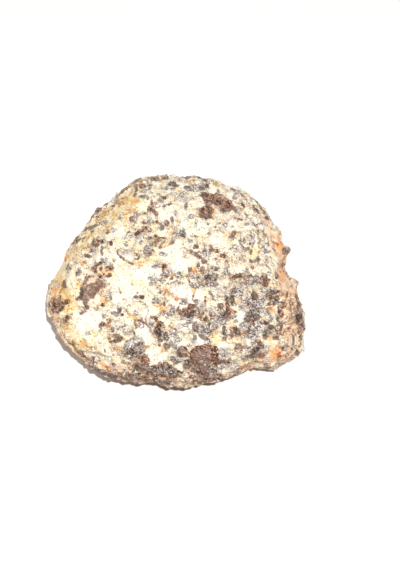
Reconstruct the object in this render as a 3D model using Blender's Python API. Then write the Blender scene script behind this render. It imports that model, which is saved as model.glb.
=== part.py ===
"""A rough stone, about 120 mm across: a pale fine-grained matrix with rust-brown and grey grains set into it.

The stone is one solid. It starts as a cube blown up to a ball, stretched to the stone's three half sizes. Flat breaks,
the outline of its show side, lumps, set-in grains, pits and ledges are then worked into it, and it is broken off flat
underneath. Lengths are in millimetres until the finished mesh is scaled to metres.
"""

import math

import bmesh
import bpy
import numpy as np
from mathutils import Vector, noise
from mathutils.bvhtree import BVHTree

MM = 0.001

# The ball that the stone starts from, about the stone's middle.
HALF_SIZE = np.array((60.0, 52.0, 42.0))
BASE_DROP = 30.0  # the flat underside lies this far below the middle
BASE_SNAP = 0.5  # a point this close to the underside is moved onto it, so that no sliver is left
CUBE_CELLS = 30  # cells along each edge of the starting cube

# The show side faces an eye in front of the stone, above it. Outline and marks are laid out on the plane through the
# stone's middle that faces the eye: first number to the right, second number up.
EYE_ELEVATION = math.radians(52.0)
EYE_DISTANCE = 600.0
RIGHT = np.array((1.0, 0.0, 0.0))
UP = np.array((0.0, math.sin(EYE_ELEVATION), math.cos(EYE_ELEVATION)))
TOWARD = np.array((0.0, -math.cos(EYE_ELEVATION), math.sin(EYE_ELEVATION)))
EYE = TOWARD * EYE_DISTANCE

# The outline of the show side, clockwise from the left end.
OUTLINE = (
    (-59.8, -11.5), (-59.6, -6.9), (-57.7, -1.8), (-55.0, 2.8), (-52.2, 6.9), (-49.9, 12.9), (-45.8, 19.8),
    (-41.2, 24.8), (-38.0, 29.4), (-35.7, 33.6), (-32.4, 35.7), (-28.8, 37.3), (-24.6, 41.4), (-20.0, 44.6),
    (-16.3, 47.4), (-11.3, 48.1), (-2.5, 49.0), (3.5, 47.8), (8.1, 49.0), (14.5, 47.8), (21.9, 45.5),
    (29.7, 42.6), (36.1, 38.6), (41.2, 33.6), (44.4, 29.0), (48.1, 24.4), (50.4, 18.9), (52.4, 14.3),
    (51.5, 11.0), (51.3, 6.9), (52.7, 2.8), (55.9, 0.0), (57.3, -5.5), (58.7, -12.4), (59.8, -19.8),
    (58.7, -27.6), (56.8, -34.0), (52.7, -36.8), (47.6, -39.1), (40.3, -40.7), (38.4, -39.6), (31.1, -41.6),
    (22.8, -45.1), (15.0, -46.9), (6.7, -48.5), (-1.2, -49.2), (-7.1, -47.4), (-14.0, -47.2), (-21.4, -46.0),
    (-29.2, -44.2), (-35.2, -42.3), (-39.8, -38.2), (-45.3, -33.1), (-49.9, -29.0), (-54.1, -22.5), (-57.3, -17.5),
)
OUTLINE_SECTORS = 90
BROAD_FIT = (0.15, 10)  # the fit starts at this share of the way out, on the outline averaged over this many sectors
CLOSE_FIT = (0.72, 0)

# Flat breaks: the direction each one faces (x, y, z) and how deep it cuts into the ball.
BREAKS = (
    ((-0.34, -0.62, 0.70), 5.0),  # broad face of the show side, towards the left
    ((0.55, -0.62, 0.55), 3.5),  # lower right of the show side
    ((0.92, -0.10, 0.25), 4.0),  # right flank
    ((-0.62, -0.50, -0.60), 8.0),  # undercut below the left rim
    ((0.10, -0.80, -0.60), 5.0),  # undercut below the front rim
    ((0.30, 0.35, 0.88), 4.0),  # top, towards the back
    ((-0.75, 0.55, 0.35), 5.0),  # left of the back
    ((0.25, 0.95, 0.05), 5.5),  # back
    ((0.65, 0.45, -0.60), 5.0),  # underside of the right back
)
BREAK_CROWN = 1.2  # a break still bulges by up to this much

# Lumps of the whole surface: their size and height. The creases are sharp valleys between rounded lumps.
LUMPS = ((34.0, 3.0), (14.0, 2.4), (7.0, 1.6))
CREASES = ((19.0, 2.2), (9.0, 1.5))

# Grains, knobs and pits of the show side: right, up, length, width, turn in degrees and height. A pit's is negative.
MARKS = (
    (-54.0, -11.5, 8.5, 8.0, 0, 1.3),  # knob at the left end
    (-48.8, -18.2, 5.0, 3.0, 60, 0.6),
    (-38.3, -3.7, 14.5, 7.0, 45, -1.4),  # long smooth hollow on the left
    (-34.0, 3.5, 12.0, 8.0, 20, 0.9),  # rough grain above it
    (-35.5, 17.5, 6.5, 5.5, 0, 1.2),
    (-11.5, 24.0, 11.0, 5.0, 35, 1.0),  # two rounded pebbles above the middle
    (-17.5, 12.0, 14.0, 11.0, 0, 1.1),
    (3.0, 22.0, 5.5, 4.5, 0, 0.8),
    (14.0, 31.0, 9.0, 8.0, 10, -1.2),  # three dark hollows, upper right
    (22.5, 35.5, 12.0, 9.0, -30, -1.3),
    (13.5, 38.5, 7.0, 4.0, -20, -0.9),
    (10.5, 43.5, 12.0, 5.0, -8, 1.0),
    (-1.5, 44.5, 7.5, 5.0, 0, 0.9),
    (27.0, 21.0, 4.5, 4.0, 0, -0.8),
    (41.0, 0.0, 5.0, 6.0, 0, 1.1),  # smooth brown bead
    (17.0, 2.0, 7.0, 8.0, 0, 0.8),
    (7.0, -13.5, 8.5, 4.5, 35, 0.9),
    (24.5, -14.5, 5.0, 5.0, 0, 1.1),
    (11.5, -20.5, 9.0, 6.5, 0, 0.9),
    (-18.5, -31.5, 9.5, 8.5, 20, 1.6),  # rounded grey knob
    (-26.5, -26.5, 7.5, 7.0, 0, 0.9),
    (-32.0, -19.5, 5.0, 4.5, 0, 0.8),
    (-21.5, -21.0, 7.0, 7.5, 0, 0.8),
    (-13.5, -39.5, 10.0, 8.0, 0, 1.0),
    (13.5, -33.5, 13.0, 11.5, 0, 1.8),  # big round brown grain
    (14.5, -42.0, 10.0, 8.0, 0, 1.0),
    (4.0, -38.5, 4.0, 3.0, 0, -1.2),
    (38.0, -32.0, 10.0, 7.0, 50, 0.9),
    (45.0, -7.0, 8.0, 6.5, 30, 1.1),
    (42.0, -21.5, 8.0, 5.0, 0, 0.9),
    (34.0, -20.5, 8.0, 8.0, 0, -0.8),
    (50.5, -31.0, 4.0, 3.5, 0, -1.2),
    (27.0, -6.0, 9.0, 6.0, 60, 0.8),
)

# Drops across the show side: points along the edge, how far it drops on the right of that walk, and how wide.
LEDGES = (
    (((-25.0, -12.5), (-17.0, -17.0), (-12.5, -21.0), (-8.5, -26.0), (-5.0, -31.5)), -1.5, 9.0),  # left of middle
    (((-4.0, -44.5), (-14.0, -43.6), (-22.0, -42.2), (-30.0, -40.6), (-37.0, -37.0)), -1.6, 5.0),  # above the rim
    (((50.0, -3.5), (53.0, -13.0), (53.5, -22.5), (52.0, -32.0)), 1.2, 6.0),  # right flank
    (((29.5, 41.0), (38.5, 30.5), (44.0, 19.0), (47.0, 9.0)), 1.0, 6.0),  # upper right shoulder
)

# Grains and pits of the other sides, strewn at random.
STREWN_COUNT = 90
STREWN_LENGTH = (5.0, 13.0)
STREWN_HEIGHT = (-1.3, 1.4)
STREWN_SEED = 11

STONE_COLOUR = (0.80, 0.68, 0.50, 1.0)
STONE_ROUGHNESS = 0.85


def unit(vector):
    vector = np.asarray(vector, float)
    return vector / np.linalg.norm(vector)


def smooth_step(value, start, end):
    """0 below start, 1 above end, and an even slope between them."""
    share = np.clip((value - start) / (end - start), 0.0, 1.0)
    return share * share * (3.0 - 2.0 * share)


def start_ball():
    """A bmesh of the stretched ball, with evenly sized cells, and its points as an array."""
    bm = bmesh.new()
    bmesh.ops.create_cube(bm, size=2.0)
    bmesh.ops.subdivide_edges(bm, edges=bm.edges[:], cuts=CUBE_CELLS - 1, use_grid_fill=True)
    cube = np.array([vert.co for vert in bm.verts])
    ball = np.tan(cube * math.pi / 4.0)
    ball /= np.linalg.norm(ball, axis=1)[:, None]
    return bm, ball * HALF_SIZE


def faces_of(bm):
    bm.verts.ensure_lookup_table()
    return [[vert.index for vert in face.verts] for face in bm.faces]


def normals_of(bm, points):
    """The outward direction at each point of the stone."""
    for vert, point in zip(bm.verts, points):
        vert.co = point
    bm.normal_update()
    return np.array([vert.normal for vert in bm.verts])


def cut_breaks(points):
    for direction, depth in BREAKS:
        direction = unit(direction)
        limit = np.linalg.norm(direction * HALF_SIZE) - depth
        beyond = np.maximum(points @ direction - limit, 0.0)
        kept = BREAK_CROWN * (1.0 - np.exp(-beyond / BREAK_CROWN))
        points = points - np.outer(beyond - kept, direction)
    return points


def on_show_plane(points):
    """Where the eye sees each point on the plane through the stone's middle: right and up."""
    nearer = EYE_DISTANCE / (EYE_DISTANCE - points @ TOWARD)
    return (points @ RIGHT) * nearer, (points @ UP) * nearer


def fit_outline(points, start, averaged):
    """Pushes points outwards or inwards, across the line of sight, until the stone's outline is OUTLINE."""
    right, up = on_show_plane(points)
    angle, reach = np.arctan2(up, right), np.hypot(right, up)
    sector_angles = np.linspace(-math.pi, math.pi, OUTLINE_SECTORS, endpoint=False)
    sector = np.round((angle + math.pi) / (2.0 * math.pi) * OUTLINE_SECTORS).astype(int) % OUTLINE_SECTORS
    present = np.zeros(OUTLINE_SECTORS)
    np.maximum.at(present, sector, reach)
    wanted_points = np.array(OUTLINE)
    wanted_angle = np.arctan2(wanted_points[:, 1], wanted_points[:, 0])
    wanted_reach = np.hypot(wanted_points[:, 0], wanted_points[:, 1])
    order = np.argsort(wanted_angle)
    circle = {"period": 2.0 * math.pi}
    wanted = np.interp(sector_angles, wanted_angle[order], wanted_reach[order], **circle)
    change = wanted / present
    if averaged:
        window = np.concatenate([change[-averaged:], change, change[:averaged]])
        change = np.convolve(window, np.ones(2 * averaged + 1) / (2 * averaged + 1), mode="valid")
    share_out = reach / np.interp(angle, sector_angles, present, **circle)
    weight = smooth_step(share_out, start, 1.0)
    growth = (np.interp(angle, sector_angles, change, **circle) - 1.0) * weight
    across = np.outer(points @ RIGHT, RIGHT) + np.outer(points @ UP, UP)
    return points + across * growth[:, None]


def noise_at(points, size, layer):
    """Smooth noise of this size, mostly between -0.5 and 0.5. Each layer is another noise."""
    offset = Vector((layer * 7.3, layer * 3.1, layer * 5.7))
    return np.array([noise.noise(Vector(point / size) + offset) for point in points])


def raise_lumps(bm, points):
    normals = normals_of(bm, points)
    lift = np.zeros(len(points))
    for layer, (size, height) in enumerate(LUMPS):
        lift += height * noise_at(points, size, layer)
    for layer, (size, height) in enumerate(CREASES):
        lift += height * (np.abs(noise_at(points, size, layer + len(LUMPS))) - 0.2)
    return points + normals * lift[:, None]


def seen_from_eye(bm, points):
    """A function that gives the place and facing on the stone of a point of the show plane."""
    tree = BVHTree.FromPolygons([Vector(point) for point in points], faces_of(bm))

    def hit(right, up):
        aim = unit(right * RIGHT + up * UP - EYE)
        place, normal, _, _ = tree.ray_cast(Vector(EYE), Vector(aim))
        return np.array(place), np.array(normal)

    return hit


def stamp_lift(points, place, facing, length, width, turn, height):
    """How far each point rises under an oval mark: flat in the middle, with steep sides."""
    along = unit(RIGHT - facing * (RIGHT @ facing))
    across = np.cross(facing, along)
    turn = math.radians(turn)
    long_axis = along * math.cos(turn) + across * math.sin(turn)
    short_axis = np.cross(facing, long_axis)
    offset = points - place
    out = np.sqrt((offset @ long_axis / (length / 2)) ** 2 + (offset @ short_axis / (width / 2)) ** 2)
    near = np.abs(offset @ facing) < length
    return height * (1.0 - smooth_step(out, 0.55, 1.15)) * near


def stamp_marks(bm, points):
    normals = normals_of(bm, points)
    hit = seen_from_eye(bm, points)
    lift = np.zeros(len(points))
    for right, up, length, width, turn, height in MARKS:
        place, facing = hit(right, up)
        lift += stamp_lift(points, place, facing, length, width, turn, height)
    return points + normals * lift[:, None]


def strew_marks(bm, points):
    """Marks at random places that the eye doesn't see."""
    normals = normals_of(bm, points)
    rng = np.random.default_rng(STREWN_SEED)
    hidden = np.flatnonzero(normals @ TOWARD < 0.1)
    lift = np.zeros(len(points))
    for at in rng.choice(hidden, STREWN_COUNT, replace=False):
        length = rng.uniform(*STREWN_LENGTH)
        width = length * rng.uniform(0.55, 1.0)
        height = rng.uniform(*STREWN_HEIGHT)
        lift += stamp_lift(points, points[at], normals[at], length, width, rng.uniform(0, 180), height)
    return points + normals * lift[:, None]


def drop_ledges(bm, points):
    normals = normals_of(bm, points)
    right, up = on_show_plane(points)
    faces_eye = smooth_step(normals @ TOWARD, -0.1, 0.2)
    for path, height, width in LEDGES:
        nearest = np.full(len(points), np.inf)
        side = np.zeros(len(points))
        for (x0, y0), (x1, y1) in zip(path, path[1:]):
            length = math.hypot(x1 - x0, y1 - y0)
            run_x, run_y = (x1 - x0) / length, (y1 - y0) / length
            along = np.clip((right - x0) * run_x + (up - y0) * run_y, 0.0, length)
            apart = np.hypot(right - x0 - along * run_x, up - y0 - along * run_y)
            on_right = (right - x0) * run_y - (up - y0) * run_x
            side = np.where(apart < nearest, on_right, side)
            nearest = np.minimum(nearest, apart)
        fade = np.clip(1.0 - nearest / width, 0.0, 1.0)
        lift = height * fade * (side > 0) * faces_eye
        points = points + normals * lift[:, None]
    return points


def break_off_base(bm, points):
    """Cuts the stone off flat at the underside and closes the cut with one face."""
    points[np.abs(points[:, 2] + BASE_DROP) < BASE_SNAP, 2] = -BASE_DROP
    for vert, point in zip(bm.verts, points):
        vert.co = point
    geometry = bm.verts[:] + bm.edges[:] + bm.faces[:]
    plane = {"plane_co": (0.0, 0.0, -BASE_DROP), "plane_no": (0.0, 0.0, 1.0), "dist": 1e-4}
    bmesh.ops.bisect_plane(bm, geom=geometry, clear_inner=True, **plane)
    rim = [edge for edge in bm.edges if edge.is_boundary]
    bmesh.ops.edgeloop_fill(bm, edges=rim)
    bmesh.ops.recalc_face_normals(bm, faces=bm.faces[:])


def centre_on_base(bm):
    """Moves the stone so that the middle of its box's underside is the origin, and scales it to metres."""
    points = np.array([vert.co for vert in bm.verts])
    middle = (points.min(0) + points.max(0)) / 2.0
    bmesh.ops.translate(bm, vec=(-middle[0], -middle[1], BASE_DROP), verts=bm.verts[:])
    bmesh.ops.scale(bm, vec=(MM, MM, MM), verts=bm.verts[:])


def stone_material():
    material = bpy.data.materials.new("pale_stone")
    material.use_nodes = True
    shader = material.node_tree.nodes["Principled BSDF"]
    shader.inputs["Base Color"].default_value = STONE_COLOUR
    shader.inputs["Roughness"].default_value = STONE_ROUGHNESS
    shader.inputs["Metallic"].default_value = 0.0
    return material


def build_rock(collection):
    bm, points = start_ball()
    points = cut_breaks(points)
    points = fit_outline(points, *BROAD_FIT)
    points = raise_lumps(bm, points)
    points = fit_outline(points, *CLOSE_FIT)
    points = drop_ledges(bm, points)
    points = stamp_marks(bm, points)
    points = strew_marks(bm, points)
    points = fit_outline(points, *CLOSE_FIT)
    break_off_base(bm, points)
    centre_on_base(bm)
    mesh = bpy.data.meshes.new("rock")
    bm.to_mesh(mesh)
    bm.free()
    mesh.materials.append(stone_material())
    rock = bpy.data.objects.new("rock", mesh)
    collection.objects.link(rock)


def main():
    for obj in list(bpy.data.objects):
        bpy.data.objects.remove(obj)
    collection = bpy.data.collections.new("rough_rock")
    bpy.context.scene.collection.children.link(collection)
    build_rock(collection)


main()
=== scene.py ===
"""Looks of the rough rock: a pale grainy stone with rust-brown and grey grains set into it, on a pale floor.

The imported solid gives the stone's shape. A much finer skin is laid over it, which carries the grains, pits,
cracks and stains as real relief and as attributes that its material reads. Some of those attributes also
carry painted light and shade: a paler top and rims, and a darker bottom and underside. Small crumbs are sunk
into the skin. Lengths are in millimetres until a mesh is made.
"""

import math

import bmesh
import bpy
import numpy as np
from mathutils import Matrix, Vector, noise
from mathutils.bvhtree import BVHTree
from mathutils.kdtree import KDTree


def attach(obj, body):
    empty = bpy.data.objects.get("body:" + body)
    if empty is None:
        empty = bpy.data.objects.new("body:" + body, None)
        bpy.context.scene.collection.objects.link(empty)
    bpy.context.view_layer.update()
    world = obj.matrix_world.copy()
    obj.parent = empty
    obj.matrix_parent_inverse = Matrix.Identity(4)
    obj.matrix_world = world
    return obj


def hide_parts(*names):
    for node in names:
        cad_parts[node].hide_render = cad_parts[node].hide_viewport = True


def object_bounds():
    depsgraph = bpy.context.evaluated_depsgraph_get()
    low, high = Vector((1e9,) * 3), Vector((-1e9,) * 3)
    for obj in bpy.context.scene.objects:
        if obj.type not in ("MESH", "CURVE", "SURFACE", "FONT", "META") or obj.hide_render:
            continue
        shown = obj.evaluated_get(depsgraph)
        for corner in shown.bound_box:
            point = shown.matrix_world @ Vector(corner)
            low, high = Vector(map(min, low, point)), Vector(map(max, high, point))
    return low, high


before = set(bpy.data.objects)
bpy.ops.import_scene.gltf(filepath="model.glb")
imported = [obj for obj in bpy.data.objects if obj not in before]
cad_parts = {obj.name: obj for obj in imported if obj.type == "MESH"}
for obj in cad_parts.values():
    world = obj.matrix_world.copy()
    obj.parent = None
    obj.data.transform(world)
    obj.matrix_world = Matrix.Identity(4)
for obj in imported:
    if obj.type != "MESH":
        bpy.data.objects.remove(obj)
CAD_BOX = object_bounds()

MM = 0.001

# The picture: its size, and the box of the stone in it, in pixels.
PICTURE = (400, 570)
STONE_LEFT, STONE_RIGHT, STONE_TOP, STONE_BOTTOM = 44.0, 305.0, 174.0, 388.0
MIDDLE_X, MIDDLE_Y = (STONE_LEFT + STONE_RIGHT) / 2, (STONE_TOP + STONE_BOTTOM) / 2

# The camera looks at the stone from in front and above. Its distance is a first guess, mended in EYE_ROUNDS.
CAMERA_ELEVATION = math.radians(52.0)
CAMERA_DISTANCE = 600.0
EYE_ROUNDS = 8
SENSOR = 36.0
LENS = 82.4
NEAR_CLIP = 0.01
FOCAL_PIXELS = LENS / SENSOR * PICTURE[1]
PIXEL = CAMERA_DISTANCE / FOCAL_PIXELS
RIGHT = np.array((1.0, 0.0, 0.0))
UP = np.array((0.0, math.sin(CAMERA_ELEVATION), math.cos(CAMERA_ELEVATION)))
TOWARD = np.array((0.0, -math.cos(CAMERA_ELEVATION), math.sin(CAMERA_ELEVATION)))

# The skin: a cube of this many cells an edge, blown up to a ball, laid on the solid from a point inside it
# and smoothed so many times. The cells are finer towards the top and the front, and coarser underneath.
SKIN_CELLS = 128
SKIN_HEART = (0.0, 0.0, 33.0)
SKIN_FINER = np.array((0.0, -0.12, 0.26))
SKIN_SMOOTHING = 10
UV_MARGIN = 0.97

# Grains and stains on the show side, as ellipses in the picture: x and y, length and width in pixels, and
# turn in degrees anticlockwise where it isn't 0. The thin brown patches and dark strips along the bottom rim
# are painted shade of the underside, not grains.
RUST_GRAINS = (
    (57, 306, 15, 14), (67, 302, 7, 5, 30), (54, 298, 3, 5), (67, 319, 7, 4, 60), (60, 292, 2, 2),
    (60, 296, 2, 3), (87, 308, 5, 4), (86, 280, 6, 2, 40), (94, 268, 6, 4), (99, 264, 7, 3, 30),
    (96, 272, 4, 3), (101, 269, 3, 4), (104, 275, 3, 6, 30), (108, 268, 5, 4), (111, 268, 4, 5),
    (100, 276, 4, 4), (97, 243, 8, 8), (108, 232, 5, 4), (111, 243, 4, 5), (84, 238, 5, 2, 30),
    (92, 232, 3, 3), (75, 243, 8, 4, 55), (113, 206, 3, 3), (124, 198, 5, 3), (142, 186, 7, 5),
    (127, 188, 6, 3, 30), (152, 204, 7, 3, -80), (154, 211, 11, 4, -50), (164, 198, 5, 4, 20),
    (207, 197, 14, 9, -20), (216, 197, 10, 8), (223, 202, 17, 12, -40), (223, 208, 6, 8, 20),
    (207, 211, 12, 15), (216, 204, 9, 4, -30), (203, 180, 6, 2), (145, 228, 5, 3, 30), (138, 233, 8, 5, 60),
    (145, 229, 8, 4, 30), (157, 222, 3, 5), (167, 223, 5, 5), (157, 237, 6, 3, -40), (163, 238, 11, 2, -5),
    (172, 243, 3, 4, -60), (195, 247, 4, 3, 30), (215, 227, 3, 3), (219, 223, 3, 2), (216, 251, 6, 4, -20),
    (217, 259, 5, 2), (136, 255, 6, 4, -30), (164, 267, 5, 5), (167, 276, 5, 3, 20), (207, 283, 3, 3),
    (233, 234, 8, 4, 60), (224, 256, 7, 5, -10), (226, 262, 3, 4), (252, 268, 3, 3), (273, 249, 2, 2),
    (283, 265, 7, 3, 50), (277, 276, 4, 6), (265, 280, 10, 12), (235, 277, 10, 4, 20), (240, 275, 4, 5),
    (228, 304, 6, 6), (228, 313, 7, 9), (270, 297, 4, 7), (277, 298, 6, 5), (287, 295, 3, 8, -15),
    (283, 302, 6, 3, 10), (297, 298, 5, 6), (253, 322, 4, 6), (265, 323, 8, 4, -10), (235, 328, 4, 5),
    (232, 336, 4, 4), (191, 308, 9, 9, 30), (185, 312, 12, 7, 15), (164, 304, 3, 4), (206, 320, 6, 4),
    (212, 317, 5, 5), (153, 317, 5, 3), (156, 319, 3, 6), (160, 325, 7, 7), (158, 328, 9, 3, 15),
    (103, 324, 6, 5), (109, 321, 4, 4), (122, 315, 4, 3), (121, 338, 4, 4), (110, 341, 3, 6),
    (143, 359, 13, 7, -15), (148, 361, 4, 6), (154, 366, 6, 2), (160, 364, 4, 5), (166, 364, 5, 5),
    (162, 376, 16, 3, 8), (172, 377, 5, 4), (184, 349, 6, 6), (200, 348, 13, 4, 15), (213, 350, 10, 8, -30),
    (215, 357, 5, 8), (192, 377, 6, 4, -10), (113, 364, 5, 3), (83, 356, 5, 3, -10), (265, 364, 3, 3),
    (259, 342, 3, 4), (239, 346, 7, 5, -30), (229, 361, 6, 4, 50), (243, 205, 4, 6, 20),
    (256, 209, 10, 3, -55), (299, 333, 3, 8), (289, 328, 4, 3), (281, 313, 9, 5, -70), (283, 306, 6, 5),
    (282, 332, 5, 9, 10), (109, 276, 5, 4, 30), (145, 222, 5, 3, 20), (103, 305, 4, 4), (88, 277, 7, 3),
)
BROWN_PATCHES = (
    (205, 355, 26, 20), (190, 364, 6, 4, 30), (197, 369, 14, 9, -30), (205, 372, 10, 10),
    (198, 256, 12, 4, -35), (204, 261, 5, 5, -50), (285, 251, 7, 8), (202, 269, 6, 5), (190, 270, 4, 6),
    # The thin patches along the bottom rim, from y 370 down, are painted shade of the underside.
    (132, 219, 6, 5), (64, 284, 9, 6, -60), (88, 256, 7, 4), (105, 373, 16, 4, -14), (118, 377, 22, 5, -12),
    (140, 380, 24, 4, -5), (168, 382, 12, 5, -15), (254, 296, 7, 9, 30), (221, 306, 6, 6),
    (223, 362, 9, 4, -10), (297, 353, 5, 7), (302, 325, 4, 5), (297, 323, 6, 4), (115, 336, 7, 4),
    (262, 356, 5, 6), (142, 297, 5, 5, 60), (178, 310, 6, 3, -10), (140, 367, 14, 7), (255, 351, 12, 7, 40),
    (165, 383, 9, 4), (195, 353, 5, 4), (271, 304, 8, 4), (196, 355, 5, 5), (99, 372, 14, 6, -25),
    (136, 297, 5, 4), (146, 365, 5, 12, 10), (200, 353, 5, 6), (97, 375, 8, 5),
)
TAN_PATCHES = (
    (91, 291, 27, 13, 35), (86, 297, 8, 13, 10), (85, 303, 5, 8), (100, 286, 10, 7, 20),
    (229, 204, 6, 10, 20), (56, 307, 5, 4), (168, 205, 4, 3), (178, 353, 7, 3), (82, 313, 5, 3, 10),
    (231, 209, 9, 10), (201, 211, 5, 12),
)
GREY_GRAINS = (
    (79, 272, 5, 9, -10), (76, 262, 4, 4), (93, 251, 9, 4), (116, 201, 7, 5, -20), (115, 197, 4, 3),
    (111, 267, 6, 6), (144, 191, 7, 4, 20), (160, 201, 6, 6), (172, 185, 11, 8, 20), (187, 178, 10, 4, 15),
    (206, 186, 5, 8, 40), (199, 186, 9, 6), (183, 193, 6, 4, 30), (150, 222, 8, 5), (162, 224, 6, 5),
    (149, 231, 5, 6), (181, 233, 10, 9, -20), (209, 233, 3, 4), (207, 252, 9, 6), (146, 254, 7, 8),
    (138, 256, 4, 4), (158, 264, 4, 5), (169, 271, 5, 5), (178, 276, 4, 6), (208, 273, 3, 4),
    (210, 279, 13, 9), (197, 277, 8, 3, -20), (154, 278, 3, 5), (150, 278, 4, 3), (226, 272, 6, 6),
    (255, 278, 8, 6), (246, 270, 6, 5), (273, 303, 8, 6), (299, 313, 7, 6), (293, 313, 4, 5),
    (252, 312, 8, 12), (257, 312, 7, 10), (252, 328, 10, 7), (266, 331, 10, 5, 15), (268, 312, 4, 6),
    (192, 316, 9, 6, 20), (153, 301, 5, 5), (184, 300, 6, 4), (172, 312, 5, 3), (164, 312, 6, 3, -20),
    (220, 317, 7, 9), (153, 331, 8, 4), (163, 335, 18, 7, -38), (173, 332, 8, 5, 20), (204, 329, 7, 8),
    (206, 333, 8, 5), (213, 327, 4, 3), (114, 313, 6, 5), (124, 327, 4, 6), (117, 336, 9, 4),
    (133, 348, 19, 17), (142, 367, 15, 8), (160, 370, 23, 6, -3), (179, 349, 5, 4), (180, 356, 6, 3),
    (82, 352, 5, 3, -30), (124, 362, 4, 5), (255, 351, 14, 9, 40), (243, 359, 6, 4), (237, 368, 5, 4, 60),
    (235, 198, 5, 4), (263, 223, 6, 4), (70, 268, 3, 4), (287, 355, 3, 5), (136, 313, 5, 6),
    (244, 302, 4, 4), (226, 298, 4, 6), (252, 298, 12, 6, 30), (256, 305, 13, 9), (249, 318, 12, 10),
    (258, 324, 12, 8, -20), (240, 293, 6, 8), (246, 286, 8, 4), (263, 300, 6, 8), (243, 326, 8, 8),
    (236, 321, 5, 4), (271, 318, 6, 8), (272, 289, 8, 5, 20), (197, 331, 7, 5), (190, 322, 7, 4),
    (182, 318, 6, 4), (168, 340, 10, 5, -40), (176, 347, 8, 4, -30), (228, 336, 6, 4), (246, 337, 8, 4),
    (138, 367, 13, 7), (250, 350, 8, 8), (168, 315, 9, 6), (140, 324, 7, 10, 30), (175, 336, 8, 5),
    (153, 283, 7, 5), (177, 283, 12, 4), (193, 285, 9, 5, -20), (256, 283, 14, 5), (252, 236, 6, 10, 20),
    (214, 370, 6, 8), (228, 318, 6, 4), (234, 304, 8, 4), (196, 308, 5, 9), (168, 188, 13, 5, -5),
    (200, 178, 8, 4), (190, 277, 8, 4, -10), (214, 276, 8, 6), (256, 211, 12, 4, -35), (180, 360, 8, 5),
    (233, 317, 8, 4, 20), (102, 261, 5, 8), (165, 273, 7, 8), (184, 303, 9, 4, 10), (236, 192, 5, 7),
    (143, 197, 7, 4, -30), (120, 217, 6, 5), (156, 214, 4, 6), (176, 214, 4, 7, 20), (173, 240, 5, 6),
    (268, 219, 5, 6), (117, 314, 6, 5), (110, 293, 4, 5), (152, 324, 6, 5), (163, 326, 5, 5),
    (185, 325, 7, 4, -20), (91, 366, 6, 5), (88, 333, 5, 4), (118, 328, 6, 4), (222, 367, 9, 5),
    (221, 316, 8, 4), (126, 244, 6, 5), (141, 243, 4, 6), (96, 265, 5, 7), (191, 217, 6, 5),
    (213, 217, 7, 4), (263, 248, 5, 5), (256, 261, 5, 5), (104, 316, 5, 5), (101, 327, 5, 6),
    (146, 357, 4, 6), (150, 188, 3, 6, -30), (186, 206, 4, 8), (150, 211, 6, 5), (190, 241, 6, 5, -30),
    (218, 192, 5, 5), (225, 225, 5, 5), (234, 210, 12, 5, -35), (251, 337, 6, 7), (224, 321, 12, 6),
    (241, 309, 4, 6), (223, 354, 6, 6), (269, 273, 4, 4), (193, 190, 14, 4), (84, 311, 5, 4),
    (254, 242, 3, 7, -15), (247, 224, 8, 3), (211, 285, 13, 4), (256, 334, 7, 12), (208, 341, 7, 6),
    (199, 332, 12, 4, -30), (160, 280, 12, 4), (158, 301, 5, 6), (183, 348, 7, 4), (170, 373, 12, 6),
    (147, 249, 6, 13, -10), (212, 296, 14, 4, -56), (104, 223, 8, 6, 30), (135, 195, 5, 5),
    (135, 215, 4, 8), (152, 192, 4, 4), (181, 195, 5, 6), (113, 230, 6, 5, 30), (175, 234, 6, 6),
    (232, 238, 8, 5), (266, 251, 12, 4), (105, 262, 4, 10), (172, 309, 7, 5), (231, 303, 9, 4),
    (254, 343, 8, 4), (232, 363, 7, 4), (264, 291, 7, 4), (115, 200, 9, 4, 30), (180, 274, 6, 5),
    (200, 286, 12, 6), (213, 314, 7, 7), (170, 273, 5, 8), (235, 292, 5, 9, 20), (163, 254, 8, 5),
    (252, 335, 6, 8), (131, 236, 5, 5), (155, 267, 7, 5), (199, 354, 8, 6), (172, 334, 6, 6),
    (178, 340, 8, 5), (236, 247, 8, 6),
)
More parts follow.
